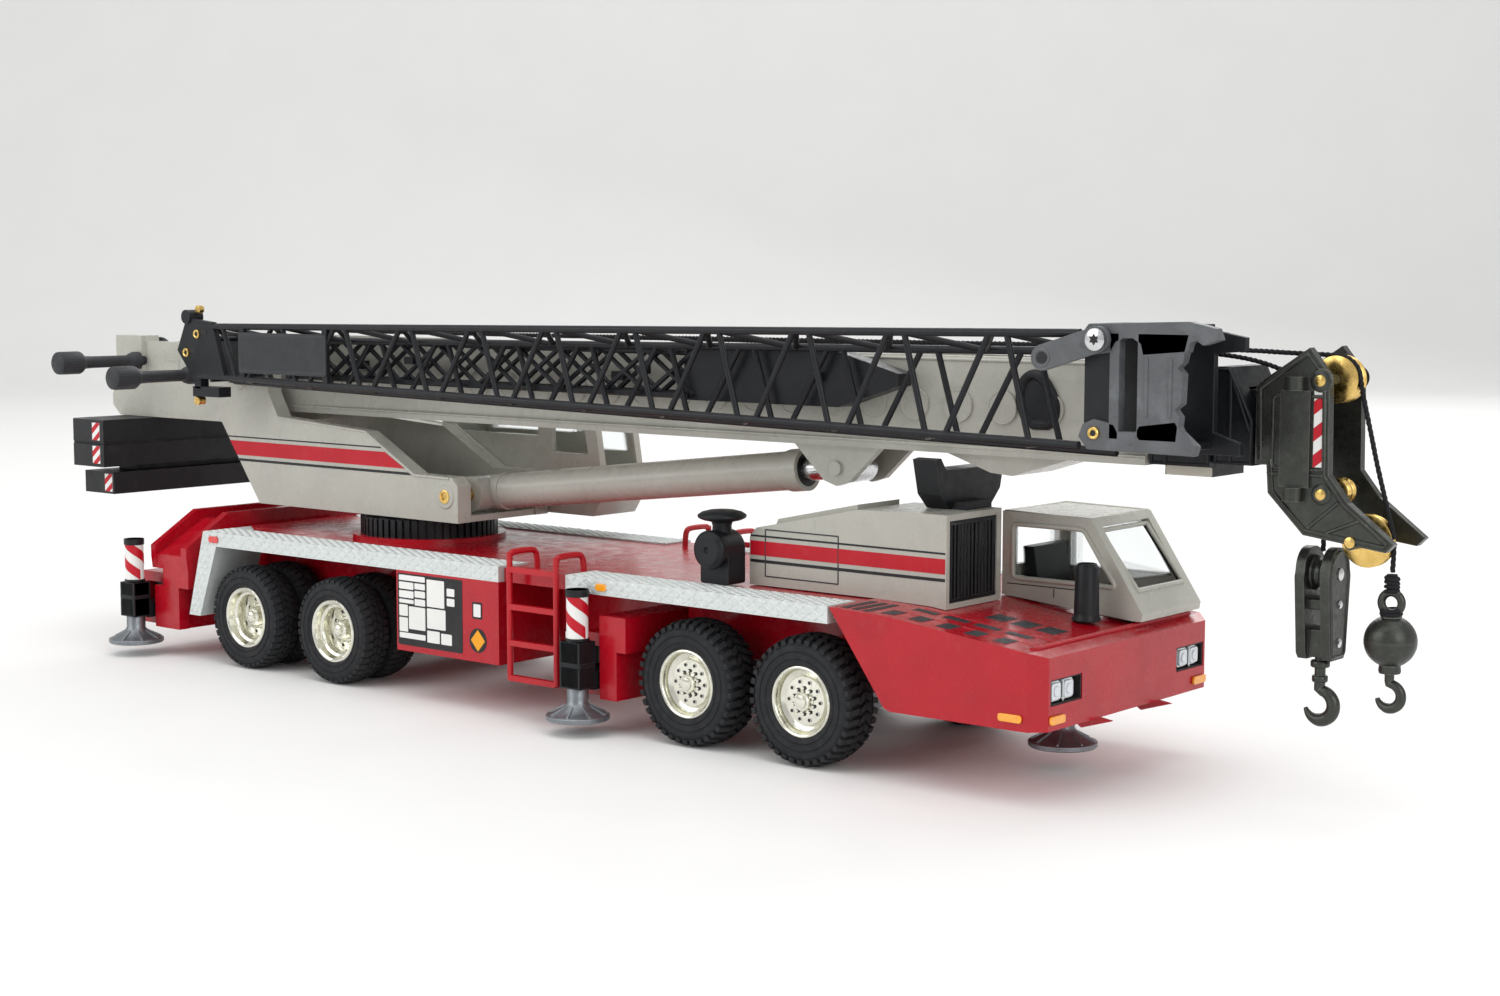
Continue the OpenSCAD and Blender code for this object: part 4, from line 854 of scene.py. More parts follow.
def make_headlamps():
    """Twin lamp units in black pockets, with a bright divider between them."""
    shell, glass, chrome = Build(), Build(), Build()
    for side in SIDES:
        y0, y1 = side * 14.4, side * 23.0
        low, high = min(y0, y1), max(y0, y1)
        shell.box((-1.62, low, 15.25), (-1.35, high, 19.05))
        for z in (15.22, 18.86):
            shell.box((-1.5, low, z), (-0.1, high, z + 0.22))
        for y in (low, high - 0.25):
            shell.box((-1.5, y, 15.22), (-0.1, y + 0.25, 19.08))
        inner = min(y0, y1) if side < 0 else max(y0, y1)
        for k in range(2):
            centre = inner - side * (2.15 + 3.5 * k)
            chrome.plate(rounded(centre - 1.55, centre + 1.55, 15.6, 18.7, 0.5), -1.4, -0.75, "yz")
            glass.plate(rounded(centre - 1.25, centre + 1.25, 15.9, 18.4, 0.45), -0.8, -0.4, "yz")
            glass.rod((-0.4, centre, 17.15), 0.8, -0.3, 0.22, "x", 20)
        chrome.box((-1.4, inner - side * 3.9 - 0.15, 15.5), (-0.3, inner - side * 3.9 + 0.15, 18.8))
    shell.done("headlamp_pockets", "carrier", INK_AND_SHADE, "black_plastic", bevel=0.05)
    chrome.done("headlamp_bezels", "carrier", STEEL, "lamp_lens", bevel=0.08)
    glass.done("headlamp_lenses", "carrier", CLEAR_LENS, "lamp_lens", bevel=0.08)
    amber, red = Build(), Build()
    for side in SIDES:
        for low, high in (((-88.9, 24.6), (-86.4, 25.9)),):
            points = rounded(low[0], high[0], low[1], high[1], 0.6)
            amber.plate(points, *sorted((side * HALF_W, side * (HALF_W + 0.28))), "xz")
        amber.plate(rounded(-7.2, -3.1, 12.75, 13.95, 0.45),
                    *sorted((side * HALF_W, side * (HALF_W + 0.38))), "xz")
        front = rounded(*sorted((side * 19.5, side * 23.5)), 12.45, 13.75, 0.45)
        amber.plate(front, 0.02, 0.48, "yz")
        points = rounded(-195.2, -192.2, 24.6, 25.9, 0.6)
        red.plate(points, *sorted((side * HALF_W, side * (HALF_W + 0.28))), "xz")
    amber.done("marker_lamps_amber", "carrier", AMBER, "lamp_lens", bevel=0.12,
               replaces=["lamps"])
    red.done("marker_lamps_red", "carrier", RED_LENS, "lamp_lens", bevel=0.12)


def make_bumper_trim():
    """Rounded lip over the bumper."""
    b = Build()
    lip = smooth_path([(-2.9, -22.8, 23.15), (-2.7, -21, 23.5), (-2.7, 0, 23.55),
                       (-2.7, 21, 23.5), (-2.9, 22.8, 23.15)], 6)
    b.tube(lip, 0.42, sides=10)
    b.done("bumper_lip", "carrier", RED, "red_paint")


AMBER_PAINT = painted("amber marking", (0.86, 0.36, 0.01), (0.8, 0.3, 0.01), 0.4, dusty=0.05,
                      coat=0.0)
make_tread_plate()
make_ladders()
make_label_panels()
make_deck_pads()
make_headlamps()
make_bumper_trim()


# ---------------------------------------------------------------- cabs, hood and grille
def window_frame(b, points, y, r=0.3, corner=0.9):
    """A round-section frame round a window outline in an XZ plane, with round corners."""
    path = []
    count = len(points)
    for i in range(count):
        p, a, c = Vector(points[i]), Vector(points[i - 1]), Vector(points[(i + 1) % count])
        start, end = (a - p).normalized() * corner + p, (c - p).normalized() * corner + p
        for k in range(5):
            t = k / 4
            q = start * (1 - t) ** 2 + 2 * p * t * (1 - t) + end * t * t
            path.append((q.x, y, q.y))
    b.tube(path, r, sides=10, closed=True)


def make_cab_trim():
    """Window surrounds, screen frame, seals, a roof bead and panel lines on the driver's cab."""
    frame_part, seal = Build(), Build()
    side_window = [(-25.2, 29.2), (-25.2, 38), (-12, 38), (-6, 29.2)]
    for y in (5.4, 24.2):
        window_frame(frame_part, side_window, y, 0.42)
        window_frame(seal, side_window, y + (0.42 if y < 10 else -0.42), 0.24, 1.0)
    screen = [(-10.75, 38.4), (-2.9, 28.15)]
    slope = Vector((screen[1][0] - screen[0][0], 0, screen[1][1] - screen[0][1]))
    corners = [(7.6, 0.06), (22.0, 0.06), (22.0, 0.94), (7.6, 0.94)]
    loop = []
    for i in range(4):
        here, last, after = corners[i], corners[i - 1], corners[(i + 1) % 4]
        for t in (0.06, 0.03, 0.0):
            loop.append((here[0] + (last[0] - here[0]) * t, here[1] + (last[1] - here[1]) * t))
        for t in (0.03, 0.06):
            loop.append((here[0] + (after[0] - here[0]) * t, here[1] + (after[1] - here[1]) * t))
    pts = [(screen[0][0] + slope.x * t, y, screen[0][1] + slope.z * t) for y, t in loop]
    frame_part.tube(pts, 0.38, sides=10, closed=True)
    inner = [(x - 0.45, y, z - 0.3) for x, y, z in pts]
    seal.tube(inner, 0.22, sides=8, closed=True)
    roof = [(-26.8, 5.7, 39.75), (-11.2, 5.7, 39.5), (-11.2, 23.9, 39.5), (-26.8, 23.9, 39.75)]
    frame_part.tube(roof, 0.45, sides=10, closed=True)
    frame_part.done("cab_window_frames", "carrier", GREY, "grey_paint", smooth=70)
    seal.done("cab_window_seals", "carrier", BLACK, "black_plastic", smooth=70)
    doors = Build()
    for y in (5.4, 24.2):
        for a, c in (((-12.2, 28.2), (-26.3, 28.2)), ((-17.4, 28.0), (-17.4, 26.6))):
            doors.tube([(a[0], y, a[1]), (c[0], y, c[1])], 0.1, sides=6)
    doors.done("cab_panel_lines", "carrier", SMOKE, "grey_paint")


def make_hood_marks():
    """Red band between black lines, and door seams on the engine hood."""
    red, black, line = Build(), Build(), Build()
    low, high = span("engine_hood")
    for side, y in ((-1, low.y), (1, high.y)):
        u = (1, 0, 0) if side < 0 else (-1, 0, 0)
        x0 = -64.8 if side < 0 else -25.4
        origin = (x0, y, 0)
        patch(red, origin, u, (0, 0, 1), rect(0, 39.4, 31.6, 34.0))
        patch(black, origin, u, (0, 0, 1), rect(0, 39.4, 30.4, 30.9))
        patch(black, origin, u, (0, 0, 1), rect(0, 39.4, 34.7, 35.0))
        for x in (-61.6, -46.4):
            line.tube([(x, y, 28.2), (x, y, 36.0)], 0.12, sides=6)
        for z in (28.2, 36.0):
            line.tube([(-61.6, y, z), (-46.4, y, z)], 0.12, sides=6)
    red.done("hood_red_band", "carrier", STRIPE_RED, "grey_paint")
    black.done("hood_black_lines", "carrier", INK_AND_SHADE, "grey_paint")
    line.done("hood_door_seams", "carrier", SMOKE, "grey_paint")


def make_grille():
    """Upright round ribs over the radiator's face, and a rail above and below them."""
    b = Build()
    x, y0, y1 = -25.5, -12.6, 0.3
    count = 13
    for i in range(count):
        y = y0 + 0.6 + (y1 - y0 - 1.2) * i / (count - 1)
        b.tube([(x, y, 27.3), (x, y, 39.5)], 0.26, sides=8)
    for z in (27.3, 39.5):
        b.box((x - 0.25, y0 + 0.1, z - 0.3), (x + 0.25, y1 - 0.1, z + 0.3))
    b.done("radiator_ribs", "carrier", BLACK, "black_plastic", smooth=60)


def make_air_cleaner():
    """Drum with a stepped lid, mushroom cap, its rounded base, and the exhaust stack."""
    x, z = -68.6, 32.6
    b = Build()
    lid = [(0, 0.0), (0.5, -0.05), (0.55, -0.35), (1.0, -0.4), (2.5, -0.4), (2.7, -0.15),
           (3.05, 0.0), (3.25, 0.3), (3.3, 0.8), (3.2, 1.0), (3.2, 5.6), (3.0, 6.2), (2.2, 6.4),
           (0, 6.4)]
    b.turned([(r, -20.3 + t) for r, t in lid], (x, 0, z), "y", 48, closed=False)
    b.plate(rounded(x - 3.1, x + 3.1, 26.75, 33.2, 0.5), -18.6, -14.2, "xz")
    cap = [(0, 35.0), (1.75, 35.0), (1.6, 36.4), (1.8, 37.1), (3.2, 37.4), (3.9, 37.7),
           (4.15, 38.0), (4.1, 38.3), (3.4, 38.75), (2.2, 39.05), (0, 39.15)]
    b.turned(cap, (x, -16.6, 0), "z", 40, closed=False)
    stack = [(0, 24.4), (2.35, 24.4), (2.3, 24.8), (2.05, 25.1), (2.0, 25.6), (1.85, 32.6),
             (1.7, 33.0), (1.55, 33.1), (1.5, 33.4), (1.2, 33.4), (1.1, 32.2), (0, 32.1)]
    b.turned(stack, (-8.4, 0.6, 0), "z", 40, closed=False)
    b.done("air_cleaner_and_stack", "carrier", BLACK, "black_plastic", bevel=0.12,
           replaces=["air_cleaner"])


# ---------------------------------------------------------------- outriggers
def hazard_block(red, white, origin, u, v, size, width=0.0, slope=math.radians(-38), thick=0.06):
    """A plain white patch crossed by slanted red bands."""
    width = width or size[0] * 0.55
    patch(white, origin, u, v, rect(0, size[0], 0, size[1]), thick)
    lifted = Vector(origin) + Vector(u).cross(Vector(v)).normalized() * thick
    for outline in diagonal_bands(size, width, slope, width * 0.6):
        patch(red, lifted, u, v, outline, thick * 0.5)


def striped_tube(white, red, x, y, low, high, r):
    """A white sleeve with helical red bands."""
    white.rod((x, y, 0), r, low, high, "z", 40)
    lead = (high - low) / 0.85
    for start in (0.0, 0.5):
        rows = []
        for i in range(49):
            a = 2 * math.pi * i / 48
            z0 = low + lead * ((start - i / 48) % 1.0)
            rows.append((a, z0))
        for (a0, z0), (a1, z1) in zip(rows, rows[1:]):
            if z1 > z0:
                continue
            band = []
            for radius in (r - 0.05, r + 0.05):
                quad = []
                for a, z in ((a0, z0), (a1, z1), (a1, z1 + lead * 0.24), (a0, z0 + lead * 0.24)):
                    z = min(max(z, low), high)
                    quad.append((x + radius * math.cos(a), y + radius * math.sin(a), z))
                band.append(quad)
            if abs(band[0][0][2] - band[0][3][2]) > 0.01:
                red.loft(band)


def add_pad(b, x, y, z, stem_top):
    """A ribbed cone foot on its stem."""
    profile = [(0, 0), (5.3, 0), (5.5, 0.2), (5.5, 0.8), (5.35, 0.95), (4.7, 1.05), (2.5, 2.25),
               (2.15, 2.7), (1.88, 3.1), (1.88, stem_top - z), (0, stem_top - z)]
    b.turned([(r, z + t) for r, t in profile], (x, y, 0), "z", 48, closed=False)
    for i in range(8):
        a = 2 * math.pi * (i + 0.5) / 8
        out, side = Vector((math.cos(a), math.sin(a), 0)), Vector((-math.sin(a), math.cos(a), 0))
        rings = []
        for reach, height in ((2.0, 2.75), (5.1, 1.15)):
            spot = Vector((x, y, z)) + out * reach
            rings.append([spot - side * 0.2, spot + side * 0.2,
                          spot + side * 0.14 + Vector((0, 0, height)),
                          spot - side * 0.14 + Vector((0, 0, height))])
        b.loft(rings)


def make_outriggers():
    for pos, x, top in (("mid", -91, 16), ("rear", -217, 15)):
        for side, side_name in ((-1, "right"), (1, "left")):
            y = side * 28.3
            beam = "outrigger_" + pos + "_" + side_name
            housing = Build()
            y0, y1 = sorted((side * 26.3, side * 30.3))
            shape = rounded(x - 2.3, x + 2.3, y0, y1, 0.35)
            housing.plate(shape, 8.1, top, "xy")
            housing.plate(rounded(x - 2.45, x + 2.45, y0 - 0.1, y1 + 0.1, 0.4), 11.6, 12.4, "xy")
            housing.rod((x, y, 0), 2.05, top + 7.7, top + 8.9, "z", 32)
            housing.rod((x, y, 0), 2.05, top, top + 0.6, "z", 32)
            housing.done(f"jack_housing_{pos}_{side_name}", beam, BLACK, "black_plastic",
                         bevel=0.12)
            white, red = Build(), Build()
            striped_tube(white, red, x, y, top + 0.5, top + 7.8, 1.87)
            white.done(f"jack_sleeve_{pos}_{side_name}", beam, WHITE, "black_plastic")
            red.done(f"jack_bands_{pos}_{side_name}", beam, STRIPE_RED, "black_plastic")
            foot = Build()
            add_pad(foot, x, y, 2.5, top - 1.3)
            foot.done(f"jack_foot_{pos}_{side_name}", f"leg_{pos}_{side_name}", CAST,
                      "grey_metal", smooth=40, replaces=[f"jack_{pos}_{side_name}"])
    foot = Build()
    add_pad(foot, -12, 0, 4, 19)
    foot.done("front_jack_foot", "leg_front", CAST, "grey_metal", smooth=40,
              replaces=["front_jack"])


# ---------------------------------------------------------------- superstructure
def make_super_marks():
    """Red band between black lines along both side plates, and the pin bosses."""
    red, black, brass, boss = Build(), Build(), Build(), Build()
    for side in SIDES:
        u = (1, 0, 0) if side < 0 else (-1, 0, 0)

        def band(x0, x1, z0, z1, lean0, lean1):
            outline = [(x0, z0), (x1, z0), (x1 + lean1, z1), (x0 + lean0, z1)]
            if side > 0:
                outline = [(-p, q) for p, q in reversed(outline)]
            return outline

        origin = (0, side * SUPER_HALF_W, 0)
        patch(red, origin, u, (0, 0, 1), band(-203.6, -152.4, 40.9, 43.8, -2.2, -5.6))
        patch(black, origin, u, (0, 0, 1), band(-203.1, -150.4, 39.7, 40.2, -0.4, -1.0))
        patch(black, origin, u, (0, 0, 1), band(-206.3, -158.6, 44.5, 44.75, -0.2, -0.5))
        y = side * SUPER_HALF_W
        for x, z, r in ((-141, 36.2, 2.4), (-203, 58.5, 4.2)):
            boss.turned([(1.3, y), (1.3, y + side * 0.28), (r - 0.25, y + side * 0.28), (r, y)],
                        (x, 0, z), "y", 40)
        brass.turned([(0, y), (1.32, y), (1.32, y + side * 0.42), (1.0, y + side * 0.5),
                      (0.75, y + side * 0.5), (0.7, y + side * 0.3), (0, y + side * 0.3)],
                     (-141, 0, 36.2), "y", 32)
    red.done("super_red_band", "upper", STRIPE_RED, "grey_paint")
    black.done("super_black_lines", "upper", INK_AND_SHADE, "grey_paint")
    boss.done("super_pin_bosses", "upper", GREY, "grey_paint", smooth=40)
    brass.done("foot_pin_heads", "upper", BRASS, "brass", smooth=40)


def make_super_plates():
    """Raised beads that break up the flat side plates."""
    b = Build()
    for side in SIDES:
        y = side * SUPER_HALF_W
        for pts in ([(-234.2, y, 56.8), (-234.2, y, 64.4)], [(-243, y, 56.6), (-234.4, y, 56.6)],
                    [(-226, y, 57.4), (-222.6, y, 57.4), (-222.6, y, 59.8), (-226, y, 59.8)]):
            b.tube(pts, 0.16, sides=8)
        rim = [(-190.0, y, 49.9), (-163.6, y, 48.2), (-149.6, y, 40.5), (-140, y, 40.4)]
        b.tube([(x, y, z - 0.75) for x, y, z in rim], 0.28, sides=8)
    b.done("side_plate_beads", "upper", GREY, "grey_paint", smooth=70)


def make_counterweight_marks():
    """Hazard patches on the slabs' side ends and rear corners, and the parting lines."""
    red, white, line = Build(), Build(), Build()
    for side in SIDES:
        u = (1, 0, 0) if side < 0 else (-1, 0, 0)
        for half, z0, z1 in ((25.0, 38.2, 41.9), (25.0, 43.1, 46.8), (21.5, 32.0, 35.7)):
            x0 = -235.4 if half > 24 else -236.4
            start = x0 if side < 0 else x0 + 2.6
            hazard_block(red, white, (start, side * half, z0), u, (0, 0, 1), (2.6, z1 - z0),
                         width=1.0, thick=0.05)
            rear_x = -243.5
            y0 = side * (half - 3.6)
            start_y = max(y0, y0 - side * 2.6) if side > 0 else y0 + 2.6
            hazard_block(red, white, (rear_x, start_y, z0 + 0.4), (0, -1, 0), (0, 0, 1),
                         (2.6, z1 - z0 - 0.8), width=1.0, thick=0.05)
    parting = 42.45
    line.box((-231.52, -24.6, parting - 0.12), (-231.44, 24.6, parting + 0.12))
    line.box((-243.56, -23.6, parting - 0.12), (-243.48, 23.6, parting + 0.12))
    red.done("weight_red_bands", "upper", STRIPE_RED, "black_paint")
    white.done("weight_white_patches", "upper", WHITE, "black_paint")
    line.done("weight_parting_lines", "upper", INK_AND_SHADE, "black_paint")


def make_winches():
    """Knurled hand knobs, their shafts, and drums wound with rope."""
    for name, at_x, at_z, body in (("front", -216, 57, "drum_front"),
                                   ("rear", -235, 59.5, "drum_rear")):
        b = Build()
        profile = [(0, -33.4), (1.9, -33.4), (2.3, -33.1), (2.38, -32.6), (2.38, -28.2),
                   (2.2, -27.8), (1.5, -27.0), (1.35, -26.6), (1.25, -25.0), (1.2, -16.0),
                   (1.55, -15.6), (1.9, -14.6), (1.9, -13.4), (1.2, -13.3), (1.2, 13.1),
                   (0.9, 13.2), (0, 13.2)]
        b.turned([(r, y) for r, y in profile], (at_x, 0, at_z), "y", 40, closed=False)
        for i in range(24):
            a = 2 * math.pi * i / 24
            p = Vector((at_x + 2.3 * math.cos(a), 0, at_z + 2.3 * math.sin(a)))
            b.tube([(p.x, -32.6, p.z), (p.x, -28.4, p.z)], 0.1, sides=6)
        for y0, y1 in ((-8.1, -7.2), (7.2, 8.1)):
            b.turned([(1.2, y0), (4.7, y0), (4.9, y0 + 0.2), (4.9, y1 - 0.2), (4.7, y1),
                      (1.2, y1)], (at_x, 0, at_z), "y", 48)
        b.done(f"{name}_winch_knob_and_drum", body, SMOKE, "black_plastic", bevel=0.06,
               smooth=40, replaces=[f"{name}_winch"])
        wound = Build()
        turns = 17
        pts = []
        for i in range(turns * 24 + 1):
            a = 2 * math.pi * i / 24
            pts.append((at_x + 3.5 * math.cos(a), -6.8 + 13.6 * i / (turns * 24),
                        at_z + 3.5 * math.sin(a)))
        wound.tube(pts, 0.4, sides=6)
        wound.rod((at_x, 0, at_z), 3.25, -7.2, 7.2, "y", 32)
        wound.done(f"{name}_wound_rope", body, ROPE, "black_rope", smooth=70)


# ---------------------------------------------------------------- boom
def collar_ribs(b, x0, x1, low, high, slope, half, r=0.32):
    """Raised ribs round a slanted collar's two cheeks, with a brace across each."""
    for side in SIDES:
        y = side * half
        edge = [(x0 + 0.3, low + 0.3), (x0 + 0.3, high - 0.3), (x0 + 2.4, high - 0.3),
                (x1 - 0.3, high - slope - 0.2), (x1 - 0.3, low + 0.3)]
        b.tube([(x, y, z) for x, z in edge], r, sides=8, closed=True)
        b.tube([(x0 + 2.6, y, low + 0.4), (x0 + 2.6, y, high - 0.6)], r, sides=8)
        b.tube([(x0 + 3.0, y, high - 2.2), (x1 - 0.6, y, (low + high) / 2 - 2.2)], r, sides=8)


def make_boom_details():
    """Collar ribs, wear pads, rope guides, the oval bracket and the flank's pressed outlines."""
    ribs = Build()
    collar_ribs(ribs, 6.0, 15.9, 50.2, 66, 8.4, 6.0)
    ribs.done("collar_ribs_2", "section_2", BLACK, "black_plastic", smooth=60)
    ribs = Build()
    collar_ribs(ribs, 16.3, 22.6, 50.8, 65, 7.6, 5.6)
    ribs.done("collar_ribs_3", "section_3", BLACK, "black_plastic", smooth=60)
    pad = Build()
    pad.plate(rounded(8.1, 15.8, 48.7, 50.15, 0.3), -4.85, 4.85, "xz")
    pad.done("wear_pad", "section_2", BEIGE, "grey_paint", bevel=0.1)
    pressed = Build()
    for side in SIDES:
        y = side * BOOM_HALF_W
        for i in range(22):
            centre = (-188 + 8.4 * i, y, 57.6)
            ring = [(centre[0] + 2.55 * math.cos(a), y + side * 0.33,
                     centre[2] + 2.55 * math.sin(a))
                    for a in (2 * math.pi * k / 28 for k in range(28))]
            pressed.tube(ring, 0.14, sides=6, closed=True)
        seam = [(-196, side * 6.7, 51.0), (5.4, side * 6.7, 51.0)]
        pressed.tube(seam, 0.12, sides=6)
        pressed.tube([(-199.5, y, 64.9), (5.2, y, 64.9)], 0.3, sides=8)
    pressed.done("boom_pressings", "boom", GREY, "grey_paint", smooth=70)
    oval = Build()
    outer = [(-14.2, 55.2), (-15.8, 56.6), (-16.6, 59.4), (-16, 61.8), (-14.2, 62.9),
             (-12.2, 61.8), (-10.4, 58.6), (-10.6, 56.2), (-12, 55)]
    path = smooth_path([(x, -6.35, z) for x, z in outer], 4)
    oval.tube(path[:-1], 0.85, sides=10, closed=True)
    oval.plate([(x * 0.9 - 1.35, z * 0.9 + 5.85) for x, z in outer], -6.6, -6.0, "xz")
    oval.done("flank_stowage_eye", "boom", BLACK, "black_plastic", smooth=50)
    for x in (1.0, 12.0):
        node = "boom" if x < 6 else "section_2"
        top = 66.0 if x > 6 else 65.4
        guide = Build()
        guide.tube([(x, -2.6, top - 0.4), (x, -2.5, top + 1.7), (x, -1.6, top + 2.3),
                    (x, 1.6, top + 2.3), (x, 2.5, top + 1.7), (x, 2.6, top - 0.4)], 0.35, sides=8)
        guide.done(f"rope_guide_{node}", node, BLACK, "black_plastic", smooth=60)


def make_lift_cylinder_details():
    """Gland ring and weld bead rings on the lift cylinder."""
    tilt = math.radians(LIFT_TILT)
    along = Vector((math.cos(tilt), 0, math.sin(tilt)))
    foot = Vector((-141, 0, 36.2))
    up = Vector((-math.sin(tilt), 0, math.cos(tilt)))
    y_axis = Vector((0, 1, 0))
    b, dark = Build(), Build()

    def collar(part, start, end, r0, r1, sides=40):
        rings = []
        for t, r in ((start, r0), (start, r1), (end, r1), (end, r0)):
            spot = foot + along * t
            rings.append([spot + r * (math.cos(a) * up + math.sin(a) * y_axis)
                          for a in (2 * math.pi * k / sides for k in range(sides))])
        part.loft(rings, closed=True, caps=False)

    collar(b, 74.6, 75.2, 3.3, 3.62)
    collar(b, 76.8, 77.6, 3.3, 3.62)
    collar(b, 3.9, 4.9, 3.3, 3.6)
    collar(dark, 77.7, 78.05, 2.05, 2.9)
    b.done("lift_cylinder_rings", "cylinder", GREY, "grey_paint", smooth=40)
    dark.done("lift_cylinder_gland", "cylinder", BLACK, "black_plastic", smooth=40)


for make in (make_cab_trim, make_hood_marks, make_grille, make_air_cleaner, make_outriggers,
             make_super_marks, make_super_plates, make_counterweight_marks, make_winches,
             make_boom_details, make_lift_cylinder_details):
    make()


# ---------------------------------------------------------------- jib
JIB_NEAR, JIB_FAR = -22.4, -13.4


def top_z(x):
    return 67.5 + (x + 201) * 0.0121


def low_z(x):
    return 57.7 - (x + 204.8) * 0.0186


def jib_point(x, side, upper):
    """A point on one of the four chords; the boom-side pair hangs lower at the top."""
    if side == "near":
        return (x, JIB_NEAR, top_z(x) if upper else low_z(x))
    return (x, JIB_FAR, top_z(x) - 2.9 if upper else low_z(x) - 1.5)


def make_jib():
    """Round chords and lacing, tip plates and the clamp blocks."""
    pipes = Build()
    for side, tip in (("near", 3.7), ("far", 4.7)):
        for upper in (True, False):
            ends = [jib_point(x, side, upper) for x in (-202, tip)]
            pipes.tube(ends, 0.65, sides=14)
        for i in range(11):
            x = -10.4 - 18.5 * i
            pipes.tube([jib_point(x + 1.5, side, True), jib_point(x + 5.6, side, False)], 0.5,
                       sides=10)
            if i > 0:
                pipes.tube([jib_point(x + 9.2, side, False), jib_point(x + 17, side, True)], 0.5,
                           sides=10)
    for i in range(11):
        x = -10.4 - 18.5 * i
        for a, b in (((x + 8, "near", False), (x - 0.5, "far", False)),
                     ((x + 1, "near", True), (x + 10, "far", True)),
                     ((x - 1, "near", True), (x - 8, "far", True))):
            pipes.tube([jib_point(*a), jib_point(*b)], 0.5, sides=10)
    pipes.tube([(-198, JIB_NEAR, 56.9), (-198, JIB_FAR, 56.9)], 0.5, sides=10)
    pipes.tube([(-200, JIB_NEAR, 64.9), (-200, JIB_FAR, 64.9)], 0.5, sides=10)
    near_plate = [(-204.8, 69.2), (-196.6, 68.4), (-192.8, 57.2), (-203, 57), (-208, 62.6)]
    far_plate = [(-204.8, 66.4), (-196.6, 65.6), (-192.8, 55.8), (-203, 55.8), (-207, 61)]
    pipes.plate(near_plate, JIB_NEAR - 0.6, JIB_NEAR + 0.6)
    pipes.plate(far_plate, JIB_FAR - 0.6, JIB_FAR + 0.4)
    pipes.rod((-204.6, 0, 69.4), 1.4, JIB_NEAR - 1, JIB_NEAR + 2.4)
    pipes.box((-204, JIB_NEAR, 53.4), (-195.6, JIB_NEAR + 3, 55.4))
    pipes.box((-203.4, JIB_NEAR, 55), (-201.4, JIB_NEAR + 2, 57.6))
    pipes.box((-188, JIB_NEAR - 0.6, 57), (-186.6, JIB_NEAR + 0.2, 68))
    pipes.box((-163, JIB_NEAR - 0.6, 57), (-161.6, JIB_NEAR + 0.2, 68.4))
    pipes.done("jib_tubes", "boom", BLACK, "black_plastic", smooth=60,
               replaces=["jib_lattice", "jib_lacing"])
    plate = Build()
    plate.plate(rounded(-188, -161.6, 58.6, 66.6, 0.5), JIB_NEAR - 0.9, JIB_NEAR - 0.55)
    plate.tube([(x, JIB_NEAR - 0.8, z) for x, z in rounded(-187.5, -162.1, 59.1, 66.1, 0.4)],
               0.18, sides=6, closed=True)
    plate.done("jib_name_plate", "boom", SMOKE, "black_plastic", bevel=0.05)
    slot = Build()
    for x, z in ((-199.2, 66.3), (-202.8, 62.6)):
        slot.plate(rounded(x - 0.9, x + 0.9, z - 0.45, z + 0.45, 0.4), JIB_NEAR - 0.66,
                   JIB_NEAR - 0.58)
    slot.done("jib_tip_slots", "boom", INK_AND_SHADE, "black_plastic")


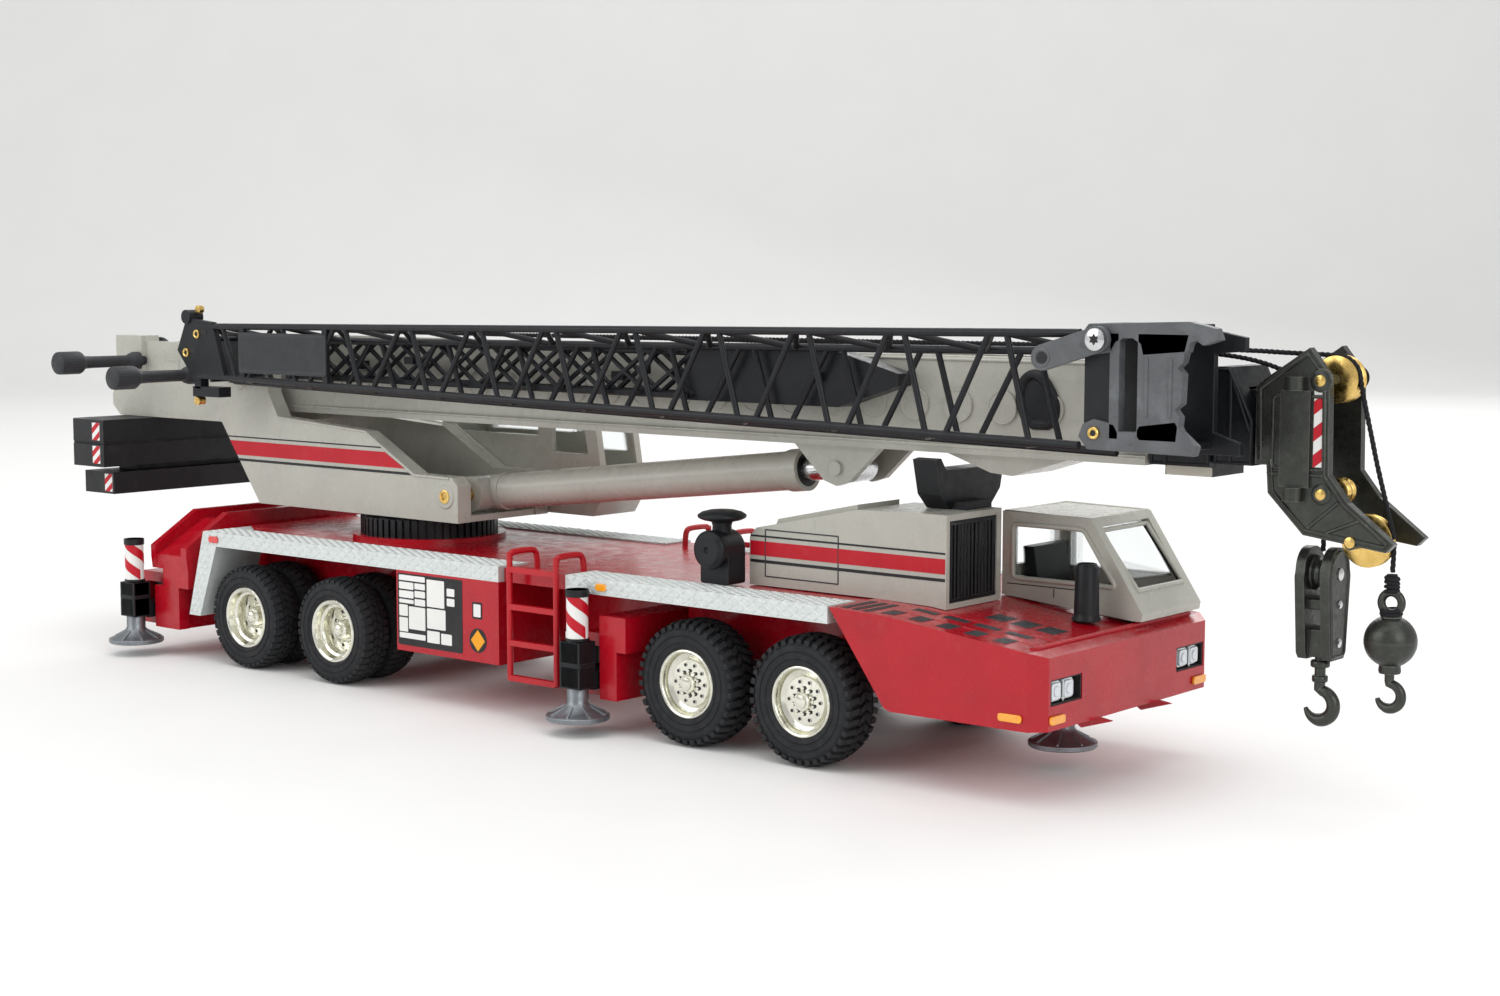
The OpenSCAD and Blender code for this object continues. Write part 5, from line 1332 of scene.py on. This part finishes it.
def make_jib_front():
    """The link, its star-socket screw and brass eyelets."""
    y = JIB_NEAR
    link = Build()
    holes = ((7.5, 69.2), (-1.6, 66.4))
    link_ring = []
    along = Vector((holes[0][0] - holes[1][0], holes[0][1] - holes[1][1]))
    lean = math.degrees(math.atan2(along.y, along.x))
    for centre, start in ((holes[0], lean - 90), (holes[1], lean + 90)):
        link_ring += [(x, z) for x, _, z in arc_points(centre, 1.9, start, start + 180, 12, 0)]
    link.plate(link_ring, y - 1.9, y - 1.05)
    for ring_at in holes:
        rim = [(ring_at[0] + 1.2 * math.cos(a), y - 1.9, ring_at[1] + 1.2 * math.sin(a))
               for a in (2 * math.pi * k / 24 for k in range(24))]
        link.tube(rim, 0.22, sides=6, closed=True)
    link.done("jib_link_arm", "link", WORN, "black_plastic", bevel=0.12, replaces=["jib_link"])
    dark = Build()
    dark.rod((holes[1][0], 0, holes[1][1]), 0.85, y - 2.0, y - 1.88, steps=24)
    dark.done("link_hole_shadow", "link", INK_AND_SHADE, "black_plastic")
    screw = Build()
    screw.turned([(0, y - 2.7), (1.35, y - 2.7), (1.6, y - 2.55), (1.6, y - 1.95),
                  (0.9, y - 1.95), (0.9, y + 0.6), (0, y + 0.6)], (7.5, 0, 69.2), "y", 40)
    screw.done("link_screw", "boom", STEEL, "brass", smooth=40)
    # No recess is cut: the star socket is a flat dark star, painted shade.
    socket = Build()
    star = []
    for k in range(12):
        r = 0.85 if k % 2 else 0.5
        a = math.pi * k / 6
        star.append((7.5 + r * math.cos(a), 69.2 + r * math.sin(a)))
    socket.plate(star, y - 2.76, y - 2.68)
    socket.done("link_screw_socket", "boom", INK_AND_SHADE, "brass")
    pins, bore_shade = Build(), Build()
    for x, z, y0, y1, r in ((6.6, 55.8, -1.2, -0.7, 0.9), (-201.4, 66, -1, -0.6, 0.9),
                            (-205, 62.2, -1, -0.6, 0.9)):
        pins.turned([(0.45, y + y1), (0.45, y + y0 + 0.12), (0.6, y + y0), (r - 0.12, y + y0),
                     (r, y + y0 + 0.12), (r, y + y1)], (x, 0, z), "y", 32)
        # The dark rod set back in each eyelet is painted shade in its hole.
        bore_shade.rod((x, 0, z), 0.47, y + y0 + 0.2, y + y1, steps=24)
    for x, z, y0, y1, r in ((-202.4, 70.9, 0.2, 1.6, 0.8), (-203.4, 52.5, 0.3, 2.2, 0.9)):
        pins.turned([(0, y + y0), (r - 0.15, y + y0), (r, y + y0 + 0.15), (r, y + y1 - 0.15),
                     (r - 0.15, y + y1), (0, y + y1)], (x, 0, z), "y", 32, closed=False)
    bore_shade.done("eyelet_bore_shade", "boom", INK_AND_SHADE, "black_plastic")
    pins.done("jib_eyelets", "boom", BRASS, "brass", smooth=40, replaces=["jib_pins"])


def make_bracket():
    """Swing-away bracket: an outer frame with two uprights round an open slot, a recessed dark
    panel, notches down its front edge, and the plate and ties on the boom's side."""
    near, back = JIB_NEAR - 0.7, JIB_NEAR + 1.1
    b = Build()
    b.plate([(3.9, 68.6), (3.9, 69.6), (5.4, 71.4), (21.4, 71.9), (25.6, 71.0), (26.2, 69.4),
             (23.6, 68.6), (22.6, 69.3), (21.6, 68.9), (21.2, 67.6), (14.2, 67.0), (13.8, 68.6),
             (12.6, 69.4), (11, 69.4), (9.8, 68.6), (9.2, 67.4), (5.2, 66.8)], near, back)
    b.plate(rounded(8.9, 10.5, 55.0, 70.2, 0.2), near, back)
    front = [(13.4, 55.6), (13.4, 70.2), (21.6, 70.2), (20.6, 66.2), (19.8, 65.4), (20.6, 64.6),
             (20.4, 60.4), (19.4, 59.6), (20.2, 58.6), (19.8, 55.0), (13.8, 55.0)]
    b.plate(front, near, back)
    b.plate([(5.4, 53.4), (3.9, 55.2), (4.6, 57.0), (6.4, 57.8), (9.8, 57.2), (10.4, 56.2),
             (13.2, 56.2), (13.8, 57.2), (19.6, 58.0), (20.4, 56.6), (22.8, 54.6), (22.4, 53.2)],
            near, back)
    for x0, x1 in ((14.6, 15.2), (18.4, 19.0)):
        b.plate(rounded(x0, x1, 58.4, 66.8, 0.2), near - 0.18, near + 0.1)
    b.done("swing_bracket", "boom", WORN, "worn_grey_plastic", bevel=0.18,
           replaces=["jib_bracket"])
    dark = Build()
    dark.plate(rounded(4.4, 9.4, 56.0, 68.4, 0.4), near + 0.7, back)
    dark.box((5, back - 0.1, 70.2), (20, JIB_FAR + 0.7, 71.4))
    dark.box((5, back - 0.1, 53.6), (20, JIB_FAR + 0.7, 54.6))
    dark.plate([(5, 52.8), (5, 70.8), (19, 70.8), (25.4, 69.6), (25.4, 67.6), (20.6, 67.2),
                (20.6, 56), (24.8, 54.6), (24.8, 52.8)], JIB_FAR - 0.5, JIB_FAR + 0.7)
    dark.box((6.4, JIB_FAR + 0.6, 52.8), (14.4, -6.9, 54.4))
    dark.box((1, -9.6, 53.2), (5.2, -6.1, 55.4))
    dark.box((1, -9.6, 52.9), (7, -8.2, 54.4))
    dark.done("swing_bracket_inner", "boom", BLACK, "worn_grey_plastic", bevel=0.15)


# ---------------------------------------------------------------- boom head and hooks
HEAD = [(23.2, 62.4), (24.5, 63.5), (31.3, 68.1), (34.4, 64.2), (34.6, 50.2), (37.6, 46.4),
        (44.6, 41), (43.4, 39.8), (30.9, 41.4), (25.3, 47.1), (25, 51.2), (23.2, 51.2)]


def inset(outline, amount):
    """The outline moved inwards by amount along its corner bisectors."""
    centre_sign = sum(a[0] * b[1] - b[0] * a[1] for a, b in zip(outline, outline[1:] + outline[:1]))
    turn = 1 if centre_sign > 0 else -1
    out = []
    count = len(outline)
    for i in range(count):
        p = Vector(outline[i])
        a = (p - Vector(outline[i - 1])).normalized()
        b = (Vector(outline[(i + 1) % count]) - p).normalized()
        na, nb = Vector((-a.y, a.x)) * turn, Vector((-b.y, b.x)) * turn
        mid = na + nb
        out.append(p + mid * (amount / max(0.4, mid.dot(na))))
    return [(q.x, q.y) for q in out]


def make_head():
    """Raised borders, lower ribs, pin ends and the striped panel on both cheeks."""
    border, bolts, white, red = Build(), Build(), Build(), Build()
    for side in SIDES:
        y = side * BOOM_HALF_W
        border.tube([(x, y, z) for x, z in inset(HEAD, 0.7)], 0.34, sides=8, closed=True)
        for a, b in (((25.2, 50.0), (34.0, 50.0)), ((31.8, 42.6), (36.2, 46.4)),
                     ((34.6, 42.0), (39.4, 44.0))):
            border.tube([(a[0], y, a[1]), (b[0], y, b[1])], 0.28, sides=8)
        border.tube([(x, y, z) for x, z in rounded(25.9, 33.9, 50.8, 61.2, 0.7)], 0.28, sides=8,
                    closed=True)
        for x, z, r in ((33.2, 63.5, 1.5), (33.6, 47.4, 1.3), (38.2, 40.9, 0.9)):
            if z > 41:
                border.turned([(0.85, y), (0.85, y + side * 0.42), (r, y + side * 0.42),
                               (r + 0.25, y)], (x, 0, z), "y", 32)
            bolts.turned([(0, y), (0.8, y), (0.8, y + side * 0.45), (0.62, y + side * 0.55),
                          (0, y + side * 0.55)], (x, 0, z), "y", 24, closed=False)
        u, v = ((1, 0, 0), (0, 0, 1)) if side < 0 else ((-1, 0, 0), (0, 0, 1))
        x0 = 32.2 if side < 0 else 34.2
        hazard_block(red, white, (x0, side * 6.0, 51.2), u, v, (1.7, 11.4), width=1.5)
    border.done("head_borders", "section_4", GUNMETAL, "black_paint", smooth=60)
    bolts.done("head_pin_ends", "section_4", BRASS, "brass", smooth=40)
    white.done("head_white_panel", "section_4", WHITE, "black_paint")
    red.done("head_red_bands", "section_4", STRIPE_RED, "black_paint")


def make_block_and_hooks():
    """Rounded cheeks, ribs and a forged J hook under the block; the ball, ring and knot."""
    block = Build()
    outline = []
    for k in range(13):
        a = math.pi * k / 12
        outline.append((3.3 * math.cos(a), 36.0 + 3.3 * math.sin(a)))
    outline += [(-3.6, 35.0), (-2.6, 23.8), (-1.9, 22.9), (1.9, 22.9), (2.6, 23.8), (3.6, 35.0)]
    for x0, x1 in ((28.6, 30.1), (32.5, 34)):
        block.plate(outline, x0, x1, "yz")
    for x, out in ((28.6, -1), (34, 1)):
        ring = [(x, y, z) for y, z in inset(outline, 0.6)]
        block.tube(ring, 0.25, sides=6, closed=True)
    block.plate(rounded(-1.8, 1.8, 23.2, 27.4, 0.3), 30.0, 32.6, "yz")
    block.plate(rounded(-2.2, 2.2, 30.2, 31.8, 0.3), 30.0, 32.6, "yz")
    block.rod((0, 0, 35.4), 0.8, 30.0, 32.6, "x")
    block.turned([(0.8, 30.3), (2.6, 30.3), (2.6, 30.6), (2.1, 31.0), (2.1, 31.6), (2.6, 32.0),
                  (2.6, 32.3), (0.8, 32.3)], (0, 0, 35.4), "x", 40)
    block.done("block_cheeks", "block", GUNMETAL, "black_paint", bevel=0.15,
               replaces=["hook_block"])
    pins = Build()
    for z, r in ((35.4, 0.9), (31, 0.6), (25.4, 0.7)):
        for x, out in ((28.6, -1), (34, 1)):
            pins.turned([(0, x), (r, x), (r, x + out * 0.2), (r * 0.7, x + out * 0.34),
                         (0, x + out * 0.34)], (0, 0, z), "x", 24, closed=False)
    pins.done("block_pin_heads", "block", STEEL, "gunmetal", smooth=40)

    def forged_hook(name, body, x, centre_z, ring, thick, top_z_at, node, slot, extra):
        b = Build()
        pts, radii = [(x, 0, top_z_at)], [thick * 0.92]
        steps = 30
        for i in range(steps + 1):
            t = i / steps
            a = math.radians(90 - 255 * t)
            pts.append((x + ring * math.cos(a), 0, centre_z + ring * math.sin(a)))
            radii.append(thick * (0.95 + 0.25 * math.sin(math.pi * t) - 0.62 * max(0, t - 0.72)
                                  / 0.28))
        b.tube(pts, radii, sides=16)
        for z0, z1, r in extra:
            b.turned([(0, z0), (r - 0.15, z0), (r, z0 + 0.15), (r, z1 - 0.15), (r - 0.15, z1),
                      (0, z1)], (x, 0, 0), "z", 32, closed=False)
        b.done(name, body, GUNMETAL, slot, smooth=50, replaces=[node])

    forged_hook("forged_main_hook", "hook", 31.3, 16, 2.2, 0.85, 26, "main_hook", "gunmetal",
                ((21.6, 22.6, 1.4), (19.4, 20.4, 1.15)))
    x = 41.9
    ball = Build()
    profile = [(0, 22.75)] + [(3.75 * math.cos(a), 26.5 + 3.75 * math.sin(a))
                              for a in (math.radians(-88 + 176 * i / 24) for i in range(25))]
    ball.turned(profile + [(0, 30.25)], (x, 0, 0), "z", 48, closed=False)
    seam = [(x + 3.6 * math.cos(a), 3.6 * math.sin(a), 26.5)
            for a in (2 * math.pi * k / 48 for k in range(48))]
    ball.tube(seam, 0.14, sides=6, closed=True)
    ball.turned([(0, 21.9), (1.5, 21.9), (1.6, 22.3), (1.5, 23.2), (0, 23.2)], (x, 0, 0), "z", 32,
                closed=False)
    ball.turned([(0, 29.8), (1.5, 29.8), (1.55, 30.5), (1.1, 30.9), (0, 30.9)], (x, 0, 0), "z",
                32, closed=False)
    eye = [(x + 1.5 * math.cos(a), 0, 32 + 1.5 * math.sin(a))
           for a in (2 * math.pi * k / 32 for k in range(32))]
    ball.tube(eye, 0.6, sides=12, closed=True)
    pts, radii = [(x, 0, 22.4), (x, 0, 20.7)], [0.7, 0.68]
    for i in range(27):
        t = i / 26
        a = math.radians(90 - 255 * t)
        pts.append((x + 1.8 * math.cos(a), 0, 18.6 + 1.8 * math.sin(a)))
        radii.append(0.65 * (1 + 0.2 * math.sin(math.pi * t) - 0.5 * max(0, t - 0.75) / 0.25))
    ball.tube(pts, radii, sides=14)
    ball.done("ball_and_small_hook", "ball", GUNMETAL, "gunmetal", smooth=50,
              replaces=["hook_ball"])
    lash = Build()
    for k, z in enumerate((30.5, 30.95, 33.7, 34.3, 34.9, 35.5)):
        r = 1.35 if z < 31 else 0.85
        ring = [(x + r * math.cos(a), r * math.sin(a), z + 0.12 * math.sin(a + k))
                for a in (2 * math.pi * i / 20 for i in range(20))]
        lash.tube(ring, 0.32, sides=6, closed=True)
    lash.rod((x, 0, 0), 0.75, 33.4, 36.1, "z", 20)
    lash.done("rope_knot", "ball", ROPE, "black_rope", smooth=70)


def make_sheaves():
    """The three grooved brass sheaves."""
    for name, at, r, grooves, body in (("top", (33.2, 63.5), 3.4, 2, "sheave_top"),
                                       ("guide", (33.6, 47.4), 1.9, 2, "sheave_guide"),
                                       ("nose", (38.2, 40.6), 3.8, 1, "sheave_nose")):
        b = Build()
        half = grooves * 0.75
        profile = [(0.86, -half), (r - 0.1, -half), (r, -half + 0.06)]
        for g in range(grooves):
            base = -half + g * 1.5
            for t, depth in ((0.22, 0.0), (0.4, 0.25), (0.6, 0.5), (0.75, 0.55), (0.9, 0.5),
                             (1.1, 0.25), (1.28, 0.0)):
                profile.append((r - depth, base + t))
        profile += [(r, half - 0.06), (r - 0.1, half), (0.86, half)]
        b.turned(profile, (at[0], 0, at[1]), "y", 56)
        b.done(f"{name}_sheave_rim", body, BRASS, "brass", smooth=40,
               replaces=[f"{name}_sheave"])


for make in (make_jib, make_jib_front, make_bracket, make_head, make_block_and_hooks,
             make_sheaves):
    make()


# ---------------------------------------------------------------- floor and light
def make_stage():
    shade = Shader("pale floor", (0.86, 0.86, 0.85), 0.6, specular=0.25)
    shade.tint(shade.times(shade.ramp(shade.noise(60, 3), 0.4, 0.7), 0.3), (0.90, 0.90, 0.90))
    shade.vary_rough(shade.noise(20, 3), 0.55, 0.7)
    reach, bend, rise = 1.4, 0.35, 1.3
    steps = 12
    sweep = [(-reach, 0.0)]
    sweep += [(reach - bend + bend * math.sin(a), bend - bend * math.cos(a))
              for a in (math.pi / 2 * i / steps for i in range(steps + 1))]
    sweep += [(reach, rise)]
    mesh = bpy.data.meshes.new("floor")
    made = bmesh.new()
    turn = Matrix.Rotation(math.radians(39.57), 4, "Z")
    rows = [[made.verts.new(turn @ Vector((x, u, z))) for x in (-3, 3)] for u, z in sweep]
    for a, b in zip(rows, rows[1:]):
        made.faces.new((a[0], a[1], b[1], b[0])).smooth = True
    made.to_mesh(mesh)
    made.free()
    floor = bpy.data.objects.new("floor", mesh)
    mesh.materials.append(shade.material)
    bpy.context.scene.collection.objects.link(floor)


def area_light(name, spot, target, size, power, colour=(1, 1, 1)):
    data = bpy.data.lights.new(name, "AREA")
    data.shape = "RECTANGLE"
    data.size, data.size_y = size
    data.energy = power
    data.color = colour
    lamp = bpy.data.objects.new(name, data)
    lamp.location = spot
    lamp.rotation_euler = (Vector(target) - Vector(spot)).to_track_quat("-Z", "Y").to_euler()
    bpy.context.scene.collection.objects.link(lamp)


def make_lights():
    area_light("overhead softbox", (0.05, -0.1, 0.95), (0, 0, 0), (1.3, 1.0), 5.2)
    area_light("front left softbox", (-0.55, -0.85, 0.5), (0, 0, 0.03), (0.8, 0.6), 3.6)
    area_light("right softbox", (0.95, -0.35, 0.45), (0, 0, 0.03), (0.6, 0.6), 3.2)
    area_light("back fill", (-0.3, 0.9, 0.6), (0, 0, 0.03), (0.8, 0.5), 3)
    world = bpy.data.worlds.new("studio")
    world.use_nodes = True
    back = next(n for n in world.node_tree.nodes if n.type == "BACKGROUND")
    back.inputs["Color"].default_value = (1, 1, 1, 1)
    back.inputs["Strength"].default_value = 0.6
    bpy.context.scene.world = world
    bpy.context.scene.view_settings.view_transform = "Standard"


make_stage()
make_lights()
